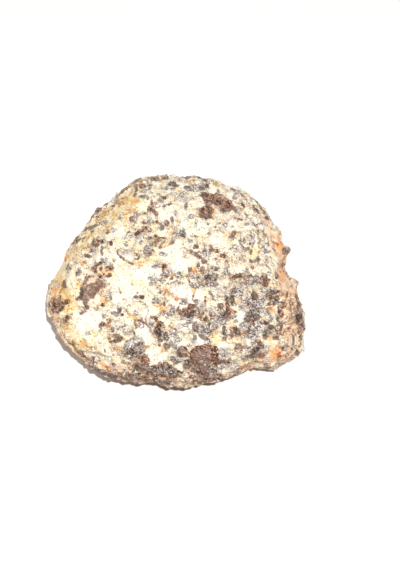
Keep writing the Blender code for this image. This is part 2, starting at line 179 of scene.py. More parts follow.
DARK_GRAINS_AND_RIM_SHADE = (
    (53, 304, 5, 5), (61, 309, 6, 4, 20), (60, 302, 5, 4), (67, 317, 3, 3, 60), (82, 292, 4, 12),
    (93, 243, 3, 8), (102, 242, 3, 5), (92, 248, 3, 2), (77, 273, 2, 4), (68, 266, 8, 2, 60),
    (87, 229, 9, 3, 25), (77, 238, 5, 3, 40), (94, 214, 14, 2, 58), (116, 202, 3, 3), (137, 181, 8, 2, 40),
    (155, 178, 7, 3), (150, 185, 4, 2), (144, 196, 6, 2), (148, 198, 2, 4, -10), (170, 204, 3, 2),
    (177, 186, 7, 2, 20), (187, 178, 6, 2), (194, 180, 6, 1), (214, 201, 4, 4), (223, 210, 7, 4, -20),
    (207, 217, 10, 4), (218, 202, 5, 3, -40), (172, 220, 4, 7), (138, 232, 4, 4, 50), (157, 241, 4, 2),
    (150, 238, 4, 3), (183, 236, 5, 3, -40), (191, 251, 5, 2, -30), (200, 257, 2, 2), (212, 250, 4, 3),
    (145, 257, 3, 3), (212, 268, 3, 2), (207, 278, 6, 6), (215, 279, 4, 4), (231, 236, 3, 4),
    (251, 252, 3, 5), (247, 249, 5, 2, -30), (251, 261, 3, 3), (240, 275, 2, 4), (251, 276, 5, 3),
    (227, 298, 4, 5), (232, 299, 5, 9), (223, 313, 4, 8), (228, 309, 4, 3), (273, 293, 13, 4, 15),
    (298, 307, 3, 8), (297, 317, 5, 6), (247, 319, 6, 6), (262, 308, 3, 3), (271, 327, 6, 5),
    (269, 333, 6, 3), (184, 315, 4, 3), (160, 324, 3, 5), (157, 333, 8, 4, -20), (165, 334, 6, 4, -30),
    (174, 328, 7, 2, -35), (195, 327, 6, 10), (209, 325, 3, 4), (217, 326, 3, 2), (103, 325, 4, 3),
    (120, 310, 5, 5), (121, 338, 3, 3), (131, 352, 13, 8, 15), (143, 369, 8, 4), (155, 368, 10, 3),
    (172, 358, 4, 4), (186, 364, 6, 3), (175, 369, 3, 2), (181, 372, 5, 2, -15), (172, 378, 4, 2),
    (177, 374, 4, 4), (203, 358, 7, 3), (208, 366, 5, 4), (199, 372, 8, 4, -30), (206, 378, 4, 4),
    # The thin strips along the bottom rim, from y 370 down, are painted shade of the underside.
    (205, 382, 5, 2, 15), (138, 378, 22, 2, -5), (120, 374, 12, 2, -12), (100, 370, 10, 2, -14),
    (166, 383, 8, 3, -15), (73, 344, 6, 3, -65), (93, 358, 5, 4, 20), (90, 362, 3, 2), (99, 361, 3, 2),
    (261, 346, 8, 7, 30), (252, 356, 8, 5, 35), (284, 348, 6, 2), (287, 346, 5, 2, -30), (238, 346, 4, 3),
    (229, 361, 4, 3, 50), (234, 190, 7, 2, -40), (257, 211, 7, 2, -55), (266, 218, 4, 5), (272, 219, 2, 4),
    (265, 212, 5, 2, -60), (225, 183, 3, 1), (244, 240, 2, 4), (286, 252, 4, 4), (277, 277, 3, 4),
    (186, 366, 7, 5), (173, 359, 6, 6), (181, 354, 6, 5), (167, 346, 7, 5, -40), (203, 337, 9, 4, -25),
    (237, 332, 6, 7), (224, 330, 4, 10), (300, 317, 5, 10), (96, 210, 12, 4, 60), (93, 227, 10, 4, 25),
    (102, 251, 3, 11, 10), (162, 228, 5, 5), (152, 252, 5, 5), (137, 258, 5, 4), (136, 188, 4, 7),
    (149, 208, 3, 7), (281, 325, 5, 6), (266, 336, 6, 5), (276, 338, 7, 4), (50, 304, 4, 7),
    (137, 365, 9, 5, 30), (176, 363, 7, 3, 20), (184, 355, 8, 4, 20), (256, 349, 10, 6, 35),
    (247, 332, 5, 4), (139, 345, 9, 5, 20), (198, 352, 6, 4), (284, 349, 5, 4), (200, 374, 6, 4),
    (95, 212, 12, 3, 58), (160, 340, 6, 4, -30), (135, 370, 7, 3, 30), (116, 341, 8, 4), (299, 304, 3, 8),
    (63, 306, 4, 5), (288, 252, 4, 7), (187, 187, 6, 3), (207, 186, 6, 3, 40), (211, 277, 4, 4),
    (258, 259, 5, 5), (257, 317, 7, 6), (128, 376, 6, 4), (151, 379, 4, 4), (158, 379, 5, 4),
    (166, 367, 12, 5, -10), (195, 338, 4, 5), (181, 350, 8, 3), (171, 344, 4, 4), (142, 297, 3, 3),
    (225, 338, 5, 5), (199, 311, 3, 5), (196, 301, 4, 4), (98, 211, 15, 5, 56), (101, 206, 6, 5, 40),
    (150, 179, 5, 3), (165, 178, 6, 4), (187, 177, 8, 3), (199, 177, 6, 4), (172, 184, 6, 4, 20),
    (122, 192, 8, 3, 45), (78, 241, 9, 3, 60), (228, 209, 6, 4, -30), (216, 269, 5, 4), (120, 339, 4, 6),
    (52, 311, 5, 5), (192, 313, 6, 6), (265, 283, 5, 5), (198, 265, 5, 5), (104, 205, 10, 6, 35),
    (188, 316, 8, 4, -15), (251, 314, 3, 8), (228, 317, 4, 5), (215, 371, 5, 5), (200, 376, 5, 3),
    (263, 282, 4, 5), (171, 375, 7, 4), (149, 254, 5, 4), (113, 330, 4, 5), (257, 202, 9, 3, -45),
    (202, 189, 6, 4), (155, 180, 7, 4, -10), (97, 374, 8, 4, -25),
)
SILVER_GRAINS = (
    (191, 188, 10, 5, 20), (184, 200, 14, 5), (236, 250, 6, 5), (240, 290, 6, 9), (264, 313, 6, 7),
    (260, 329, 10, 7), (199, 303, 5, 6), (203, 307, 5, 8), (210, 310, 5, 5), (150, 321, 6, 6),
    (203, 327, 5, 5), (128, 332, 9, 9), (116, 342, 7, 5), (139, 340, 9, 8), (204, 353, 13, 7),
    (211, 371, 6, 9), (225, 353, 11, 5), (223, 228, 6, 5), (246, 300, 5, 5), (58, 285, 5, 4),
    (197, 322, 5, 3), (194, 341, 6, 6), (176, 344, 6, 6), (173, 194, 10, 4), (218, 290, 9, 7),
    (239, 292, 8, 12), (246, 310, 7, 8), (254, 333, 16, 6), (205, 331, 10, 6), (188, 318, 8, 6),
    (180, 326, 8, 6), (214, 322, 10, 8), (222, 353, 14, 12), (133, 341, 12, 6), (252, 286, 8, 5),
    (266, 322, 8, 6), (210, 370, 8, 10), (127, 253, 12, 5),
)
ORANGE_STAINS = (
    (132, 316, 6, 5), (137, 322, 5, 7, 30), (214, 212, 4, 13), (192, 183, 5, 3), (232, 313, 4, 7),
    (208, 286, 3, 3), (237, 236, 3, 3), (172, 296, 9, 4, -35), (166, 291, 4, 6), (106, 272, 10, 6, 30),
    (105, 302, 6, 9, 30), (139, 263, 5, 3), (272, 310, 6, 5), (243, 333, 9, 3), (270, 337, 9, 4),
    (276, 353, 13, 15), (246, 366, 11, 4, 15), (158, 328, 12, 4, 15), (108, 327, 5, 4),
    (116, 348, 12, 2, -10), (184, 353, 5, 3), (84, 344, 6, 4), (107, 367, 14, 5, -15), (135, 202, 8, 10),
    (243, 195, 5, 5), (280, 244, 7, 12), (282, 275, 6, 14), (67, 258, 6, 10, 60), (56, 318, 8, 4, -50),
    (84, 262, 6, 4), (194, 291, 4, 8), (162, 308, 14, 3, -25), (194, 270, 8, 8), (165, 268, 8, 7),
    (232, 330, 4, 4), (144, 347, 5, 3), (172, 233, 5, 8), (121, 201, 9, 9),
)
PALE_PATCHES = (
    (56, 308, 2, 2), (216, 206, 5, 9, 20), (128, 279, 26, 22), (150, 270, 16, 8), (143, 334, 12, 16, 30),
    (90, 320, 26, 18), (155, 356, 14, 14), (222, 240, 22, 10, -5), (238, 318, 12, 13, 30),
    (168, 234, 10, 8), (170, 254, 20, 12), (180, 264, 14, 12), (189, 281, 8, 6), (178, 213, 20, 10),
    (158, 208, 8, 6), (190, 204, 16, 6), (183, 186, 12, 7), (205, 190, 14, 4), (115, 232, 14, 10),
    (120, 258, 8, 8), (101, 255, 10, 8), (199, 322, 6, 4), (226, 243, 24, 7), (254, 252, 8, 8),
    (236, 270, 12, 4), (237, 308, 10, 8), (267, 315, 6, 5), (250, 341, 5, 5), (184, 323, 14, 10),
    (163, 320, 10, 5), (152, 311, 10, 6), (196, 296, 8, 10), (212, 291, 10, 8), (202, 340, 16, 6),
    (182, 362, 10, 12), (70, 282, 6, 12), (247, 224, 12, 8), (268, 243, 5, 8), (136, 187, 5, 5),
    (227, 322, 8, 6), (189, 183, 10, 4), (194, 232, 10, 5), (232, 225, 6, 4), (216, 212, 4, 9, 15),
    (146, 269, 6, 5), (209, 191, 6, 3), (180, 293, 14, 7), (245, 353, 5, 4), (143, 286, 8, 8),
    (175, 302, 7, 5), (147, 207, 7, 5), (167, 221, 10, 5),
)
SEEN_GRAINS = {
    "rust": RUST_GRAINS,
    "brown": BROWN_PATCHES,
    "tan": TAN_PATCHES,
    "grey": GREY_GRAINS,
    "dark": DARK_GRAINS_AND_RIM_SHADE,
    "silver": SILVER_GRAINS,
    "orange": ORANGE_STAINS,
    "pale": PALE_PATCHES,
}

# Fine lines: their points in the picture, and their width in pixels. The dark lines along the lower rim are
# painted shade.
RUST_LINES = (
    (((138, 319), (144, 322), (150, 328)), 1.2),
    (((115, 249), (121, 257), (126, 261), (132, 264)), 1.4),
    (((127, 234), (131, 231)), 1.5),
    (((110, 347), (116, 349), (121, 351), (125, 354)), 1.2),
    (((133, 358), (138, 356), (144, 350)), 1.2),
    (((192, 362), (191, 353), (197, 347), (204, 345), (211, 347), (217, 352), (218, 360), (214, 366)), 2.4),
    (((197, 314), (203, 322)), 1.6),
    (((204, 297), (206, 304)), 1.5),
    (((234, 216), (237, 220), (241, 220)), 1.3),
    (((62, 333), (70, 344), (78, 352), (88, 361)), 1.3),
    (((194, 292), (192, 300)), 1.2),
)
DARK_LINES = (
    (((193, 357), (198, 363), (206, 366)), 1.2),
    (((124, 355), (130, 358), (138, 356), (143, 350)), 1.0),
    (((80, 300), (79, 293), (83, 284), (90, 277)), 0.9),
    (((245, 214), (250, 219), (256, 228)), 1.2),
    (((263, 230), (267, 238), (269, 246)), 1.3),
    (((257, 226), (259, 240), (259, 256)), 1.0),
    (((240, 236), (241, 244), (246, 250)), 1.4),
    (((290, 300), (291, 311), (293, 320)), 1.6),
    (((292, 334), (294, 342), (292, 350)), 1.6),
    (((301, 334), (300, 344), (296, 354)), 1.8),
    (((238, 190), (243, 197), (250, 203)), 1.2),
    (((252, 198), (260, 206), (266, 216)), 1.2),
    # Painted shade along the lower-left rim, beside the cast shadow.
    (((71, 341), (79, 351), (90, 361), (97, 368)), 1.2),
    (((278, 300), (279, 312), (276, 330)), 1.2),
    (((266, 258), (266, 264), (272, 272)), 1.2),
    (((148, 310), (147, 316), (146, 321)), 1.4),
    (((134, 320), (136, 328), (134, 336)), 1.6),
    # Painted shade of the underside along the bottom rim.
    (((82, 362), (92, 368), (104, 374), (116, 377)), 1.6),
)

# Forms that stand out or lie deep: how high they stand in millimetres, and their ellipses in the picture.
FORMS = {
    1.0: ((133, 348, 20, 18),),
    0.9: ((51, 284, 8, 9), (264, 280, 10, 12), (205, 355, 28, 22)),
    0.8: ((289, 252, 5, 9), (57, 306, 18, 17), (228, 313, 9, 11)),
    0.7: ((142, 362, 18, 16), (150, 240, 32, 30), (272, 298, 15, 14)),
    0.6: ((255, 351, 17, 12, 40), (285, 251, 9, 11)),
    0.5: (
        (97, 209, 14, 6, 58), (97, 243, 12, 12), (139, 339, 10, 9), (120, 310, 6, 6), (160, 364, 5, 6),
        (166, 364, 6, 6), (152, 352, 16, 26, 10),
    ),
    0.4: (
        (68, 320, 9, 6, 60), (95, 212, 14, 5, 58), (202, 371, 18, 14, -10), (135, 255, 26, 22),
        (195, 187, 24, 9, -5), (172, 185, 12, 9, 20), (188, 311, 16, 9, 30), (200, 327, 17, 13),
        (115, 337, 15, 10), (104, 323, 10, 8), (128, 275, 34, 22), (90, 322, 34, 24),
    ),
    0.3: ((263, 248, 9, 9),),
    -0.3: ((181, 233, 12, 10, -20), (198, 256, 18, 6, -35)),
    -0.4: ((206, 197, 16, 8, -20),),
    -0.5: ((223, 203, 18, 14, -30), (206, 212, 15, 17)),
    -0.6: ((160, 333, 24, 9, -40), (172, 358, 5, 5)),
    -0.8: ((88, 222, 10, 14, -25), (186, 364, 7, 5), (284, 348, 7, 4)),
    -0.9: ((66, 346, 12, 22, -40), (89, 288, 30, 15, 35)),
    -2.6: ((54, 329, 16, 24, -35),),
}

# Where the rim in the picture is moved: how far towards the stone's middle in millimetres, and the ellipses.
# Where the number is negative, the rim is moved outwards.
RIM_TRIMS = {
    1.8: ((60, 342, 24, 24),),
    1.4: ((156, 386, 38, 40, -3),),
    1.2: ((182, 389, 32, 40),),
    1.0: ((136, 386, 20, 30),),
    0.8: ((212, 386, 18, 30), (93, 214, 14, 14), (63, 343, 30, 32, -40)),
    0.7: ((62, 266, 14, 20), (104, 203, 16, 12, 45)),
    0.6: ((116, 191, 9, 9),),
    0.5: ((45, 308, 10, 14), (72, 243, 10, 10)),
    0.4: ((242, 193, 10, 10), (112, 383, 24, 10, -10)),
    -0.5: ((303, 332, 10, 26),),
    -0.6: ((286, 245, 8, 10), (195, 175, 14, 8)),
    -0.8: ((303, 318, 10, 22), (298, 285, 12, 12), (223, 381, 16, 24), (292, 281, 10, 14)),
    -0.9: ((287, 362, 18, 20, 20),),
    -1.0: ((288, 252, 8, 12),),
    -1.1: ((302, 308, 12, 22),),
    -1.2: ((293, 281, 9, 9), (272, 367, 34, 26, 15), (298, 352, 16, 24, 20)),
    -1.3: ((300, 345, 12, 14),),
    -1.6: ((246, 372, 26, 30, 12),),
}

# Steps in the surface: points along the line in the picture, how far it rises on the right-hand side of
# that walk in millimetres, and over how many pixels that dies away.
LEDGES = (
    (((120, 308), (137, 318), (147, 326), (156, 337), (165, 351)), -1.2, 16.0),
    (((165, 380), (150, 379), (132, 377), (118, 373), (104, 370), (94, 367), (84, 360)), -1.6, 8.0),
    (((283, 290), (290, 308), (291, 330), (288, 350)), 1.0, 12.0),
    (((239, 192), (258, 213), (270, 238), (278, 262)), 0.9, 9.0),
    (((228, 196), (246, 214), (258, 238), (264, 262)), 0.6, 9.0),
    (((115, 249), (125, 262), (140, 268), (156, 261)), -0.7, 9.0),
    (((131, 238), (139, 227), (152, 220)), -0.7, 8.0),
    (((186, 224), (200, 232), (214, 247), (222, 262)), 0.5, 9.0),
    (((168, 298), (182, 300), (200, 298), (214, 290)), -0.6, 8.0),
    (((232, 286), (246, 300), (252, 320), (248, 340)), 0.7, 10.0),
    (((104, 346), (116, 349), (126, 355), (140, 357)), 0.5, 7.0),
)

# Soft washes over the show side: how much, and the ellipses in the picture. The tone makes the ground mass
# paler, or darker where it is negative. Much of it is painted light and shade: the top and the rims are
# painted paler, and the bottom, the rim over the underside and the rim beside the cast shadow at the lower
# left are painted darker. The rest is the stone's own tone. Yellow and peach stain it.
TONE_LIGHT_AND_SHADE_WASHES = {
    0.26: ((130, 206, 50, 34, 30),),
    0.24: ((228, 372, 16, 10), (184, 380, 20, 9), (62, 272, 16, 26, 15), (267, 321, 9, 6)),
    0.22: ((214, 209, 7, 9), (122, 369, 14, 6, -10)),
    0.2: (
        (86, 328, 50, 30, -30), (252, 216, 30, 26, -40), (229, 215, 10, 7), (284, 277, 5, 18),
        (298, 334, 6, 9), (210, 327, 16, 10), (180, 376, 12, 12), (105, 366, 20, 6, -20), (257, 365, 16, 6),
        (284, 275, 5, 20), (224, 216, 16, 8), (160, 244, 14, 5), (206, 268, 5, 18), (125, 367, 9, 8),
        (77, 297, 6, 8), (86, 305, 10, 5), (262, 234, 9, 6, 20), (69, 257, 9, 6), (132, 336, 6, 9),
        (190, 337, 10, 8), (108, 271, 6, 6), (92, 364, 8, 6, -40), (102, 218, 8, 5), (69, 312, 6, 8),
    ),
    0.18: (
        (63, 271, 16, 40, 20), (147, 183, 9, 7), (166, 243, 12, 6), (251, 201, 16, 7, -30),
        (262, 292, 26, 8), (291, 314, 6, 30), (122, 307, 6, 10, -30), (151, 293, 8, 8), (173, 354, 8, 5),
        (255, 366, 16, 6), (153, 364, 8, 7), (92, 281, 22, 6), (215, 212, 6, 12), (222, 184, 10, 6, -20),
        (284, 248, 5, 7), (224, 328, 5, 10), (251, 342, 8, 7), (254, 365, 16, 6, 10),
    ),
    0.16: (
        (100, 348, 40, 18, -30), (143, 334, 16, 30, 30), (273, 241, 16, 34, 20), (233, 186, 30, 12, -20),
        (102, 217, 9, 6), (190, 195, 9, 6), (217, 226, 9, 6), (148, 225, 10, 8), (66, 275, 8, 16, 10),
        (190, 255, 9, 7, -30), (225, 272, 5, 12), (262, 258, 8, 12), (269, 240, 14, 10, -50),
        (264, 211, 5, 9), (91, 280, 14, 6), (179, 291, 20, 6), (245, 355, 6, 6), (63, 316, 12, 6, 20),
        (92, 354, 8, 6), (68, 277, 7, 12), (87, 304, 6, 10, -40), (106, 238, 12, 7), (138, 227, 8, 9),
        (168, 222, 8, 6), (226, 284, 10, 7, 20), (255, 303, 10, 6), (270, 322, 16, 5), (182, 311, 12, 5),
        (211, 323, 14, 5), (127, 347, 6, 12, -30), (172, 355, 10, 4), (224, 186, 16, 6, -35),
        (199, 247, 6, 16), (90, 281, 26, 6), (66, 313, 14, 5, 30), (288, 304, 10, 16), (172, 354, 16, 5),
        (194, 347, 20, 5, 25), (126, 343, 7, 8), (127, 343, 6, 16, -35), (256, 276, 12, 5),
        (202, 225, 16, 6, -20), (194, 348, 20, 5, 25), (155, 365, 7, 6), (230, 374, 14, 6, 20),
        (185, 371, 12, 6), (63, 291, 22, 10, -25), (203, 344, 10, 5), (112, 340, 9, 5), (267, 320, 9, 6),
        (201, 283, 6, 7),
    ),
    0.14: (
        (218, 243, 34, 12), (155, 353, 12, 16), (240, 318, 20, 22, 30), (218, 287, 20, 12),
        (152, 294, 16, 10), (105, 214, 16, 12, 30), (250, 196, 20, 16, -45), (286, 290, 14, 44),
        (182, 384, 50, 8), (235, 348, 14, 10), (135, 248, 10, 8), (113, 246, 10, 18), (137, 247, 10, 8),
        (203, 253, 5, 14), (165, 333, 12, 6, -45), (201, 344, 10, 4), (236, 348, 8, 12), (80, 343, 8, 12),
        (60, 291, 16, 10), (63, 315, 14, 6), (129, 216, 7, 6), (248, 217, 16, 7), (244, 295, 6, 14),
        (143, 352, 6, 7), (126, 354, 14, 4, -20), (228, 374, 14, 6), (190, 256, 8, 7), (92, 233, 16, 22),
        (66, 256, 10, 8, 30), (292, 345, 10, 20), (268, 322, 20, 6), (226, 328, 12, 10),
        (178, 312, 14, 6, 20), (204, 268, 5, 22), (113, 334, 14, 6), (272, 243, 6, 14, 20),
        (176, 355, 16, 5), (207, 327, 12, 8), (249, 214, 16, 7), (143, 351, 6, 8), (129, 341, 5, 16, -40),
        (111, 304, 6, 7), (280, 355, 16, 14), (150, 226, 8, 7), (108, 274, 8, 6), (181, 330, 7, 8),
        (127, 259, 16, 5, -38), (255, 367, 12, 5, 10),
    ),
    0.12: (
        (180, 258, 50, 22), (183, 334, 20, 16), (242, 258, 30, 10), (125, 246, 18, 16), (148, 228, 20, 20),
        (68, 300, 14, 24), (68, 335, 20, 50, -35), (120, 306, 14, 10), (182, 289, 14, 8),
        (170, 203, 12, 10), (258, 366, 24, 8, 10), (207, 324, 10, 8), (168, 206, 8, 6), (92, 241, 18, 26),
        (185, 232, 8, 6), (90, 342, 8, 8), (63, 273, 14, 22), (104, 297, 8, 6), (183, 327, 30, 12),
        (142, 307, 8, 20), (110, 262, 24, 6, 10), (200, 253, 10, 8), (161, 289, 6, 10), (254, 302, 8, 6),
        (213, 329, 9, 7), (109, 239, 10, 6), (123, 369, 10, 5, -10), (58, 288, 10, 8),
    ),
    0.11: ((128, 280, 60, 44, -30),),
    0.1: (
        (163, 200, 14, 14), (202, 253, 14, 12), (185, 289, 16, 10), (246, 294, 22, 10), (185, 222, 30, 30),
        (80, 250, 24, 30, 30), (55, 285, 12, 30), (115, 364, 24, 8, -15),
    ),
    0.08: ((165, 291, 40, 12), (258, 284, 18, 30)),
    0.06: ((190, 188, 120, 20, -5),),
    -0.05: ((185, 270, 120, 80),),
    -0.08: ((200, 254, 22, 12, -35),),
    -0.1: (
        (240, 310, 110, 100), (206, 298, 20, 30), (112, 338, 24, 18), (110, 272, 14, 14),
        (160, 376, 90, 16, -5),
    ),
    -0.12: (
        (195, 185, 50, 14, -8), (160, 222, 24, 12), (141, 319, 10, 8), (168, 264, 12, 8), (185, 311, 14, 8),
        (185, 214, 12, 10), (163, 228, 10, 8), (188, 179, 24, 6), (95, 279, 18, 10, 35), (177, 225, 6, 26),
        (212, 310, 12, 12), (165, 273, 10, 12), (118, 316, 10, 8), (248, 358, 14, 6, 10),
    ),
    -0.14: (
        (207, 325, 26, 30), (215, 202, 30, 24), (252, 243, 16, 30, 10), (205, 276, 30, 22),
        (165, 274, 30, 16), (118, 341, 14, 8), (225, 333, 14, 10), (242, 336, 14, 10), (282, 334, 14, 10),
        (198, 281, 14, 8), (250, 350, 50, 30), (232, 288, 20, 12), (181, 357, 14, 10), (202, 336, 14, 8),
        (178, 238, 10, 8), (252, 308, 22, 34), (176, 336, 14, 8), (226, 190, 16, 6, -30), (222, 367, 10, 6),
        (186, 177, 40, 5), (246, 225, 18, 6),
    ),
    -0.16: (
        (268, 300, 26, 30), (180, 365, 130, 36, -8), (135, 184, 10, 6), (224, 332, 6, 14),
        (78, 356, 16, 6, -25), (98, 372, 16, 6, -20), (138, 366, 12, 8), (228, 317, 26, 8, 10),
        (204, 188, 24, 6, 10), (234, 209, 8, 14), (255, 351, 16, 8),
    ),
    -0.18: (
        (272, 332, 30, 18), (232, 335, 26, 18), (136, 358, 26, 26), (192, 310, 20, 18), (242, 277, 40, 16),
        (165, 179, 30, 6),
    ),
    -0.2: (
        (204, 362, 36, 40), (168, 375, 44, 20, -5), (182, 357, 18, 12), (153, 374, 20, 12),
        (232, 372, 60, 14, 5), (200, 381, 120, 12), (78, 358, 30, 8, -45), (168, 343, 16, 10, -40),
        (238, 332, 8, 10),
    ),
    -0.22: ((165, 340, 34, 14, -40),),
    # Painted shadow: the rim at the lower left is darkened where the floor's shadow lies beside it.
    -0.24: ((97, 220, 14, 10, 50), (53, 328, 8, 20, -35), (75, 353, 22, 8, -40)),
    -0.3: ((300, 318, 16, 34), (120, 374, 50, 12, -14), (302, 314, 8, 12)),
}
YELLOW_WASHES = {
    0.24: ((62, 290, 30, 120, 15),),
    0.2: ((85, 240, 34, 70, -40), (103, 364, 20, 8, -20)),
    0.18: ((118, 208, 60, 40, 40), (80, 350, 24, 80, -40)),
    0.16: (
        (65, 294, 24, 14), (63, 328, 12, 24, -30), (220, 341, 20, 12), (246, 364, 24, 8), (78, 288, 8, 20),
    ),
    0.14: (
        (250, 288, 30, 12), (153, 224, 14, 10), (276, 341, 16, 12), (193, 218, 12, 8), (105, 250, 8, 20),
        (113, 277, 14, 12), (255, 285, 20, 12),
    ),
    0.12: (
        (216, 333, 16, 14), (123, 283, 34, 26), (253, 254, 14, 14), (125, 227, 12, 8), (187, 276, 10, 12),
        (260, 248, 12, 14), (165, 312, 30, 10, -15),
    ),
    0.1: ((152, 225, 14, 14), (112, 350, 34, 30)),
    0.08: ((130, 200, 30, 16, 45),),
    0.06: (
        (150, 245, 60, 50), (245, 340, 60, 40), (165, 315, 60, 40), (116, 218, 26, 12, 45),
        (168, 185, 40, 18),
    ),
    -0.1: (
        (133, 308, 14, 10), (186, 244, 20, 10), (86, 338, 20, 12), (183, 332, 16, 10), (248, 210, 12, 14),
    ),
    -0.12: (
        (240, 223, 16, 14), (273, 236, 10, 14), (205, 225, 14, 10), (210, 245, 12, 10), (108, 220, 14, 12),
    ),
    -0.14: ((253, 324, 20, 24), (286, 288, 8, 12), (218, 337, 12, 8)),
}
PEACH_WASHES = {
    0.4: ((292, 305, 34, 130, 5),),
    0.36: ((52, 306, 14, 44),),
    0.34: ((278, 245, 30, 70, 25), (275, 356, 50, 30, 10), (74, 352, 10, 60, 45)),
    0.3: ((200, 380, 80, 14, 5), (96, 279, 20, 12, 35)),
    0.24: ((125, 370, 90, 20, -15), (58, 332, 10, 30, 30), (100, 364, 30, 12, -25)),
    0.2: (
        (90, 287, 44, 40), (60, 292, 24, 36), (272, 312, 14, 12), (280, 358, 16, 10),
        (248, 368, 22, 10, 10),
    ),
    0.16: ((75, 235, 18, 50, -40),),
    0.14: ((240, 215, 60, 60, -45), (155, 310, 12, 8), (140, 326, 10, 8)),
    0.12: ((145, 345, 90, 20, -20),),
}

# The rest of the grains are strewn: how many, their length in millimetres, their height, and the seed. Few
# are long, and none lie where the stone faces the camera more than STREWN_FACING.
STREWN = {
    "rust": (260, (1.2, 7.5), (-0.6, 0.7), 3),
    "grey": (300, (1.2, 7.0), (-0.5, 0.6), 4),
}
STREWN_POWER = 2.2
STREWN_FACING = 0.15

# Crumbs that stand out of the surface: how many, their length in millimetres, the seed, and how deep they are
# sunk as a share of their length. Few are long. The stretch is the least and the most length, width and
# height of one, and the lumps are how far its corners lie in or out. None sit lower than CRUMB_LEAST.
CRUMBS = (9500, (0.9, 3.4), 5, 0.13)
CRUMB_POWER = 3
CRUMB_STRETCH = ((0.9, 0.55, 0.35), (1.0, 0.9, 0.6))
CRUMB_LUMPS = (0.8, 1.15)
CRUMB_LEAST = 1.0

# The shares of rust, grey, dark and ochre crumbs, on clean ground and on ground with grime and painted shade.
# The rest are pale. Ochre crumbs are this much yellower, and all crumbs stand this much higher than the skin
# for the material, which paints raised ground paler.
CRUMB_SHARES = np.array(((0.02, 0.02, 0.01, 0.04), (0.10, 0.12, 0.07, 0.08)))
OCHRE_CRUMB = 0.45
CRUMB_RELIEF = 0.25

# The stone is layered: its grain is finer across the layers than along them by this much.
LAYERING = 1.4
LAYER_AXIS = (0.45, 0.50, 0.74)

# Noise over the skin: the size of its lumps in millimetres, its seed, its octaves and its roughness.
GRIME_NOISE = (7.0, 61, 3, 0.6)
GRIT_NOISE = (3.6, 31, 3, 0.66)
MOUND_NOISE = (8.0, 35, 2, 0.6)
PIT_NOISE = (2.1, 8)
FORM_NOISE = (3.0, 57, 2)
NOISE_STEPS = (7.31, 3.17, 5.73)

# Grime: the strength of its noise on the sides that the camera sees, and how much stronger it is elsewhere.
# Then what pale patches and other grains add to it, how much painted shade darkens the surfaces that face
# down, and how much less of that painted shade where unseen.
GRIME_STRENGTH, HIDDEN_GRIME = 0.45, 0.35
PALE_GRIME, GRAIN_GRIME = -0.4, 0.08
UNDERSIDE_SHADE, HIDDEN_UNDERSIDE_SHADE = 0.45, 0.30

# The relief in millimetres: how high grit stands and how much higher on grimy ground, how high mounds and the
# cells between fine joints stand, how deep pits, grimy ground and the whole skin lie, and the cells' size.
GRIT_HEIGHT, GRIMY_GRIT = 0.45, 0.6
MOUND_HEIGHT, CELL_HEIGHT = 1.1, 0.6
PIT_DEPTH, GRIMY_DEPTH, SKIN_DEPTH = 0.9, 0.35, 0.2
CELL_SIZE = 3.4

# The relief that the material reads is what stands out from the lift spread this many times. The material
# paints shade from it: recesses darker, raised ground paler.
RELIEF_ROUNDS = 30

# How far lines and ledges wander: by how many pixels, and over what length in millimetres, and the seed.
LINE_WANDER = (2.0, 3.0, 51)
LEDGE_WANDER = (4.0, 5.0, 41)

# How far inside a grain a point is, in millimetres, where there is none, and what grains and lines gain by.
FAR_OUTSIDE = -5.0
GRAIN_GAIN = 0.16
LINE_GAIN = 0.12

# Stains from washes on the show side, and on the others from noise of this size and seed.
STAINS = {
    "yellow": (YELLOW_WASHES, 13.0, 91),
    "peach": (PEACH_WASHES, 17.0, 93),
}

# The lights: how many degrees to the right of the stone's front and above the floor, how far, how wide (both
# in metres) and how strong. The key throws the narrow shadow. The side light is soft and brings out the
# relief. The back lights are low and very soft, and reach only the sides that the camera doesn't see.
LIGHTS = {
    "key": (9.0, 57.0, 1.4, 0.03, 27.5),
    "side": (-66.7, 59.7, 1.4, 0.6, 3.0),
    "back_left": (-140.0, 14.0, 1.4, 0.7, 5.0),
    "back_right": (150.0, 14.0, 1.4, 0.7, 5.0),
}
FILL_STRENGTH = 0.18
FILL_COLOUR = (1.0, 0.80, 0.70, 1.0)

# The floor: half its side and how far it lies below the stone, in metres, and its looks.
FLOOR_REACH = 4.0
FLOOR_DROP = 0.0002
FLOOR_ROUGHNESS = 0.9
FLOOR_COLOUR = (0.80, 0.78, 0.77, 1.0)

# Colours of the stone along the scale of their tone. The ground mass runs from bare white to ochre, the
# mottles and the grains from dark to pale.
MATRIX_TONES = (
    (0.20, (0.800, 0.760, 0.645)),
    (0.34, (0.790, 0.718, 0.540)),
    (0.48, (0.770, 0.655, 0.425)),
    (0.62, (0.690, 0.505, 0.270)),
    (0.76, (0.470, 0.290, 0.150)),
    (0.90, (0.220, 0.120, 0.070)),
)
MOTTLE_TONES = (
    (0.28, (0.230, 0.160, 0.110)),
    (0.45, (0.460, 0.355, 0.255)),
    (0.65, (0.740, 0.660, 0.540)),
)
DARK_TONES = (
    (0.32, (0.018, 0.008, 0.005)),
    (0.52, (0.060, 0.031, 0.020)),
    (0.72, (0.285, 0.200, 0.150)),
)
RUST_TONES = (
    (0.30, (0.030, 0.010, 0.006)),
    (0.46, (0.108, 0.036, 0.019)),
    (0.58, (0.235, 0.098, 0.055)),
    (0.70, (0.390, 0.215, 0.130)),
    (0.84, (0.600, 0.450, 0.320)),
)
BROWN_TONES = (
    (0.28, (0.065, 0.032, 0.023)),
    (0.44, (0.145, 0.076, 0.055)),
    (0.58, (0.225, 0.130, 0.098)),
    (0.74, (0.450, 0.320, 0.250)),
)
TAN_TONES = (
    (0.28, (0.105, 0.056, 0.038)),
    (0.46, (0.195, 0.112, 0.078)),
    (0.60, (0.300, 0.185, 0.135)),
    (0.74, (0.560, 0.420, 0.345)),
)
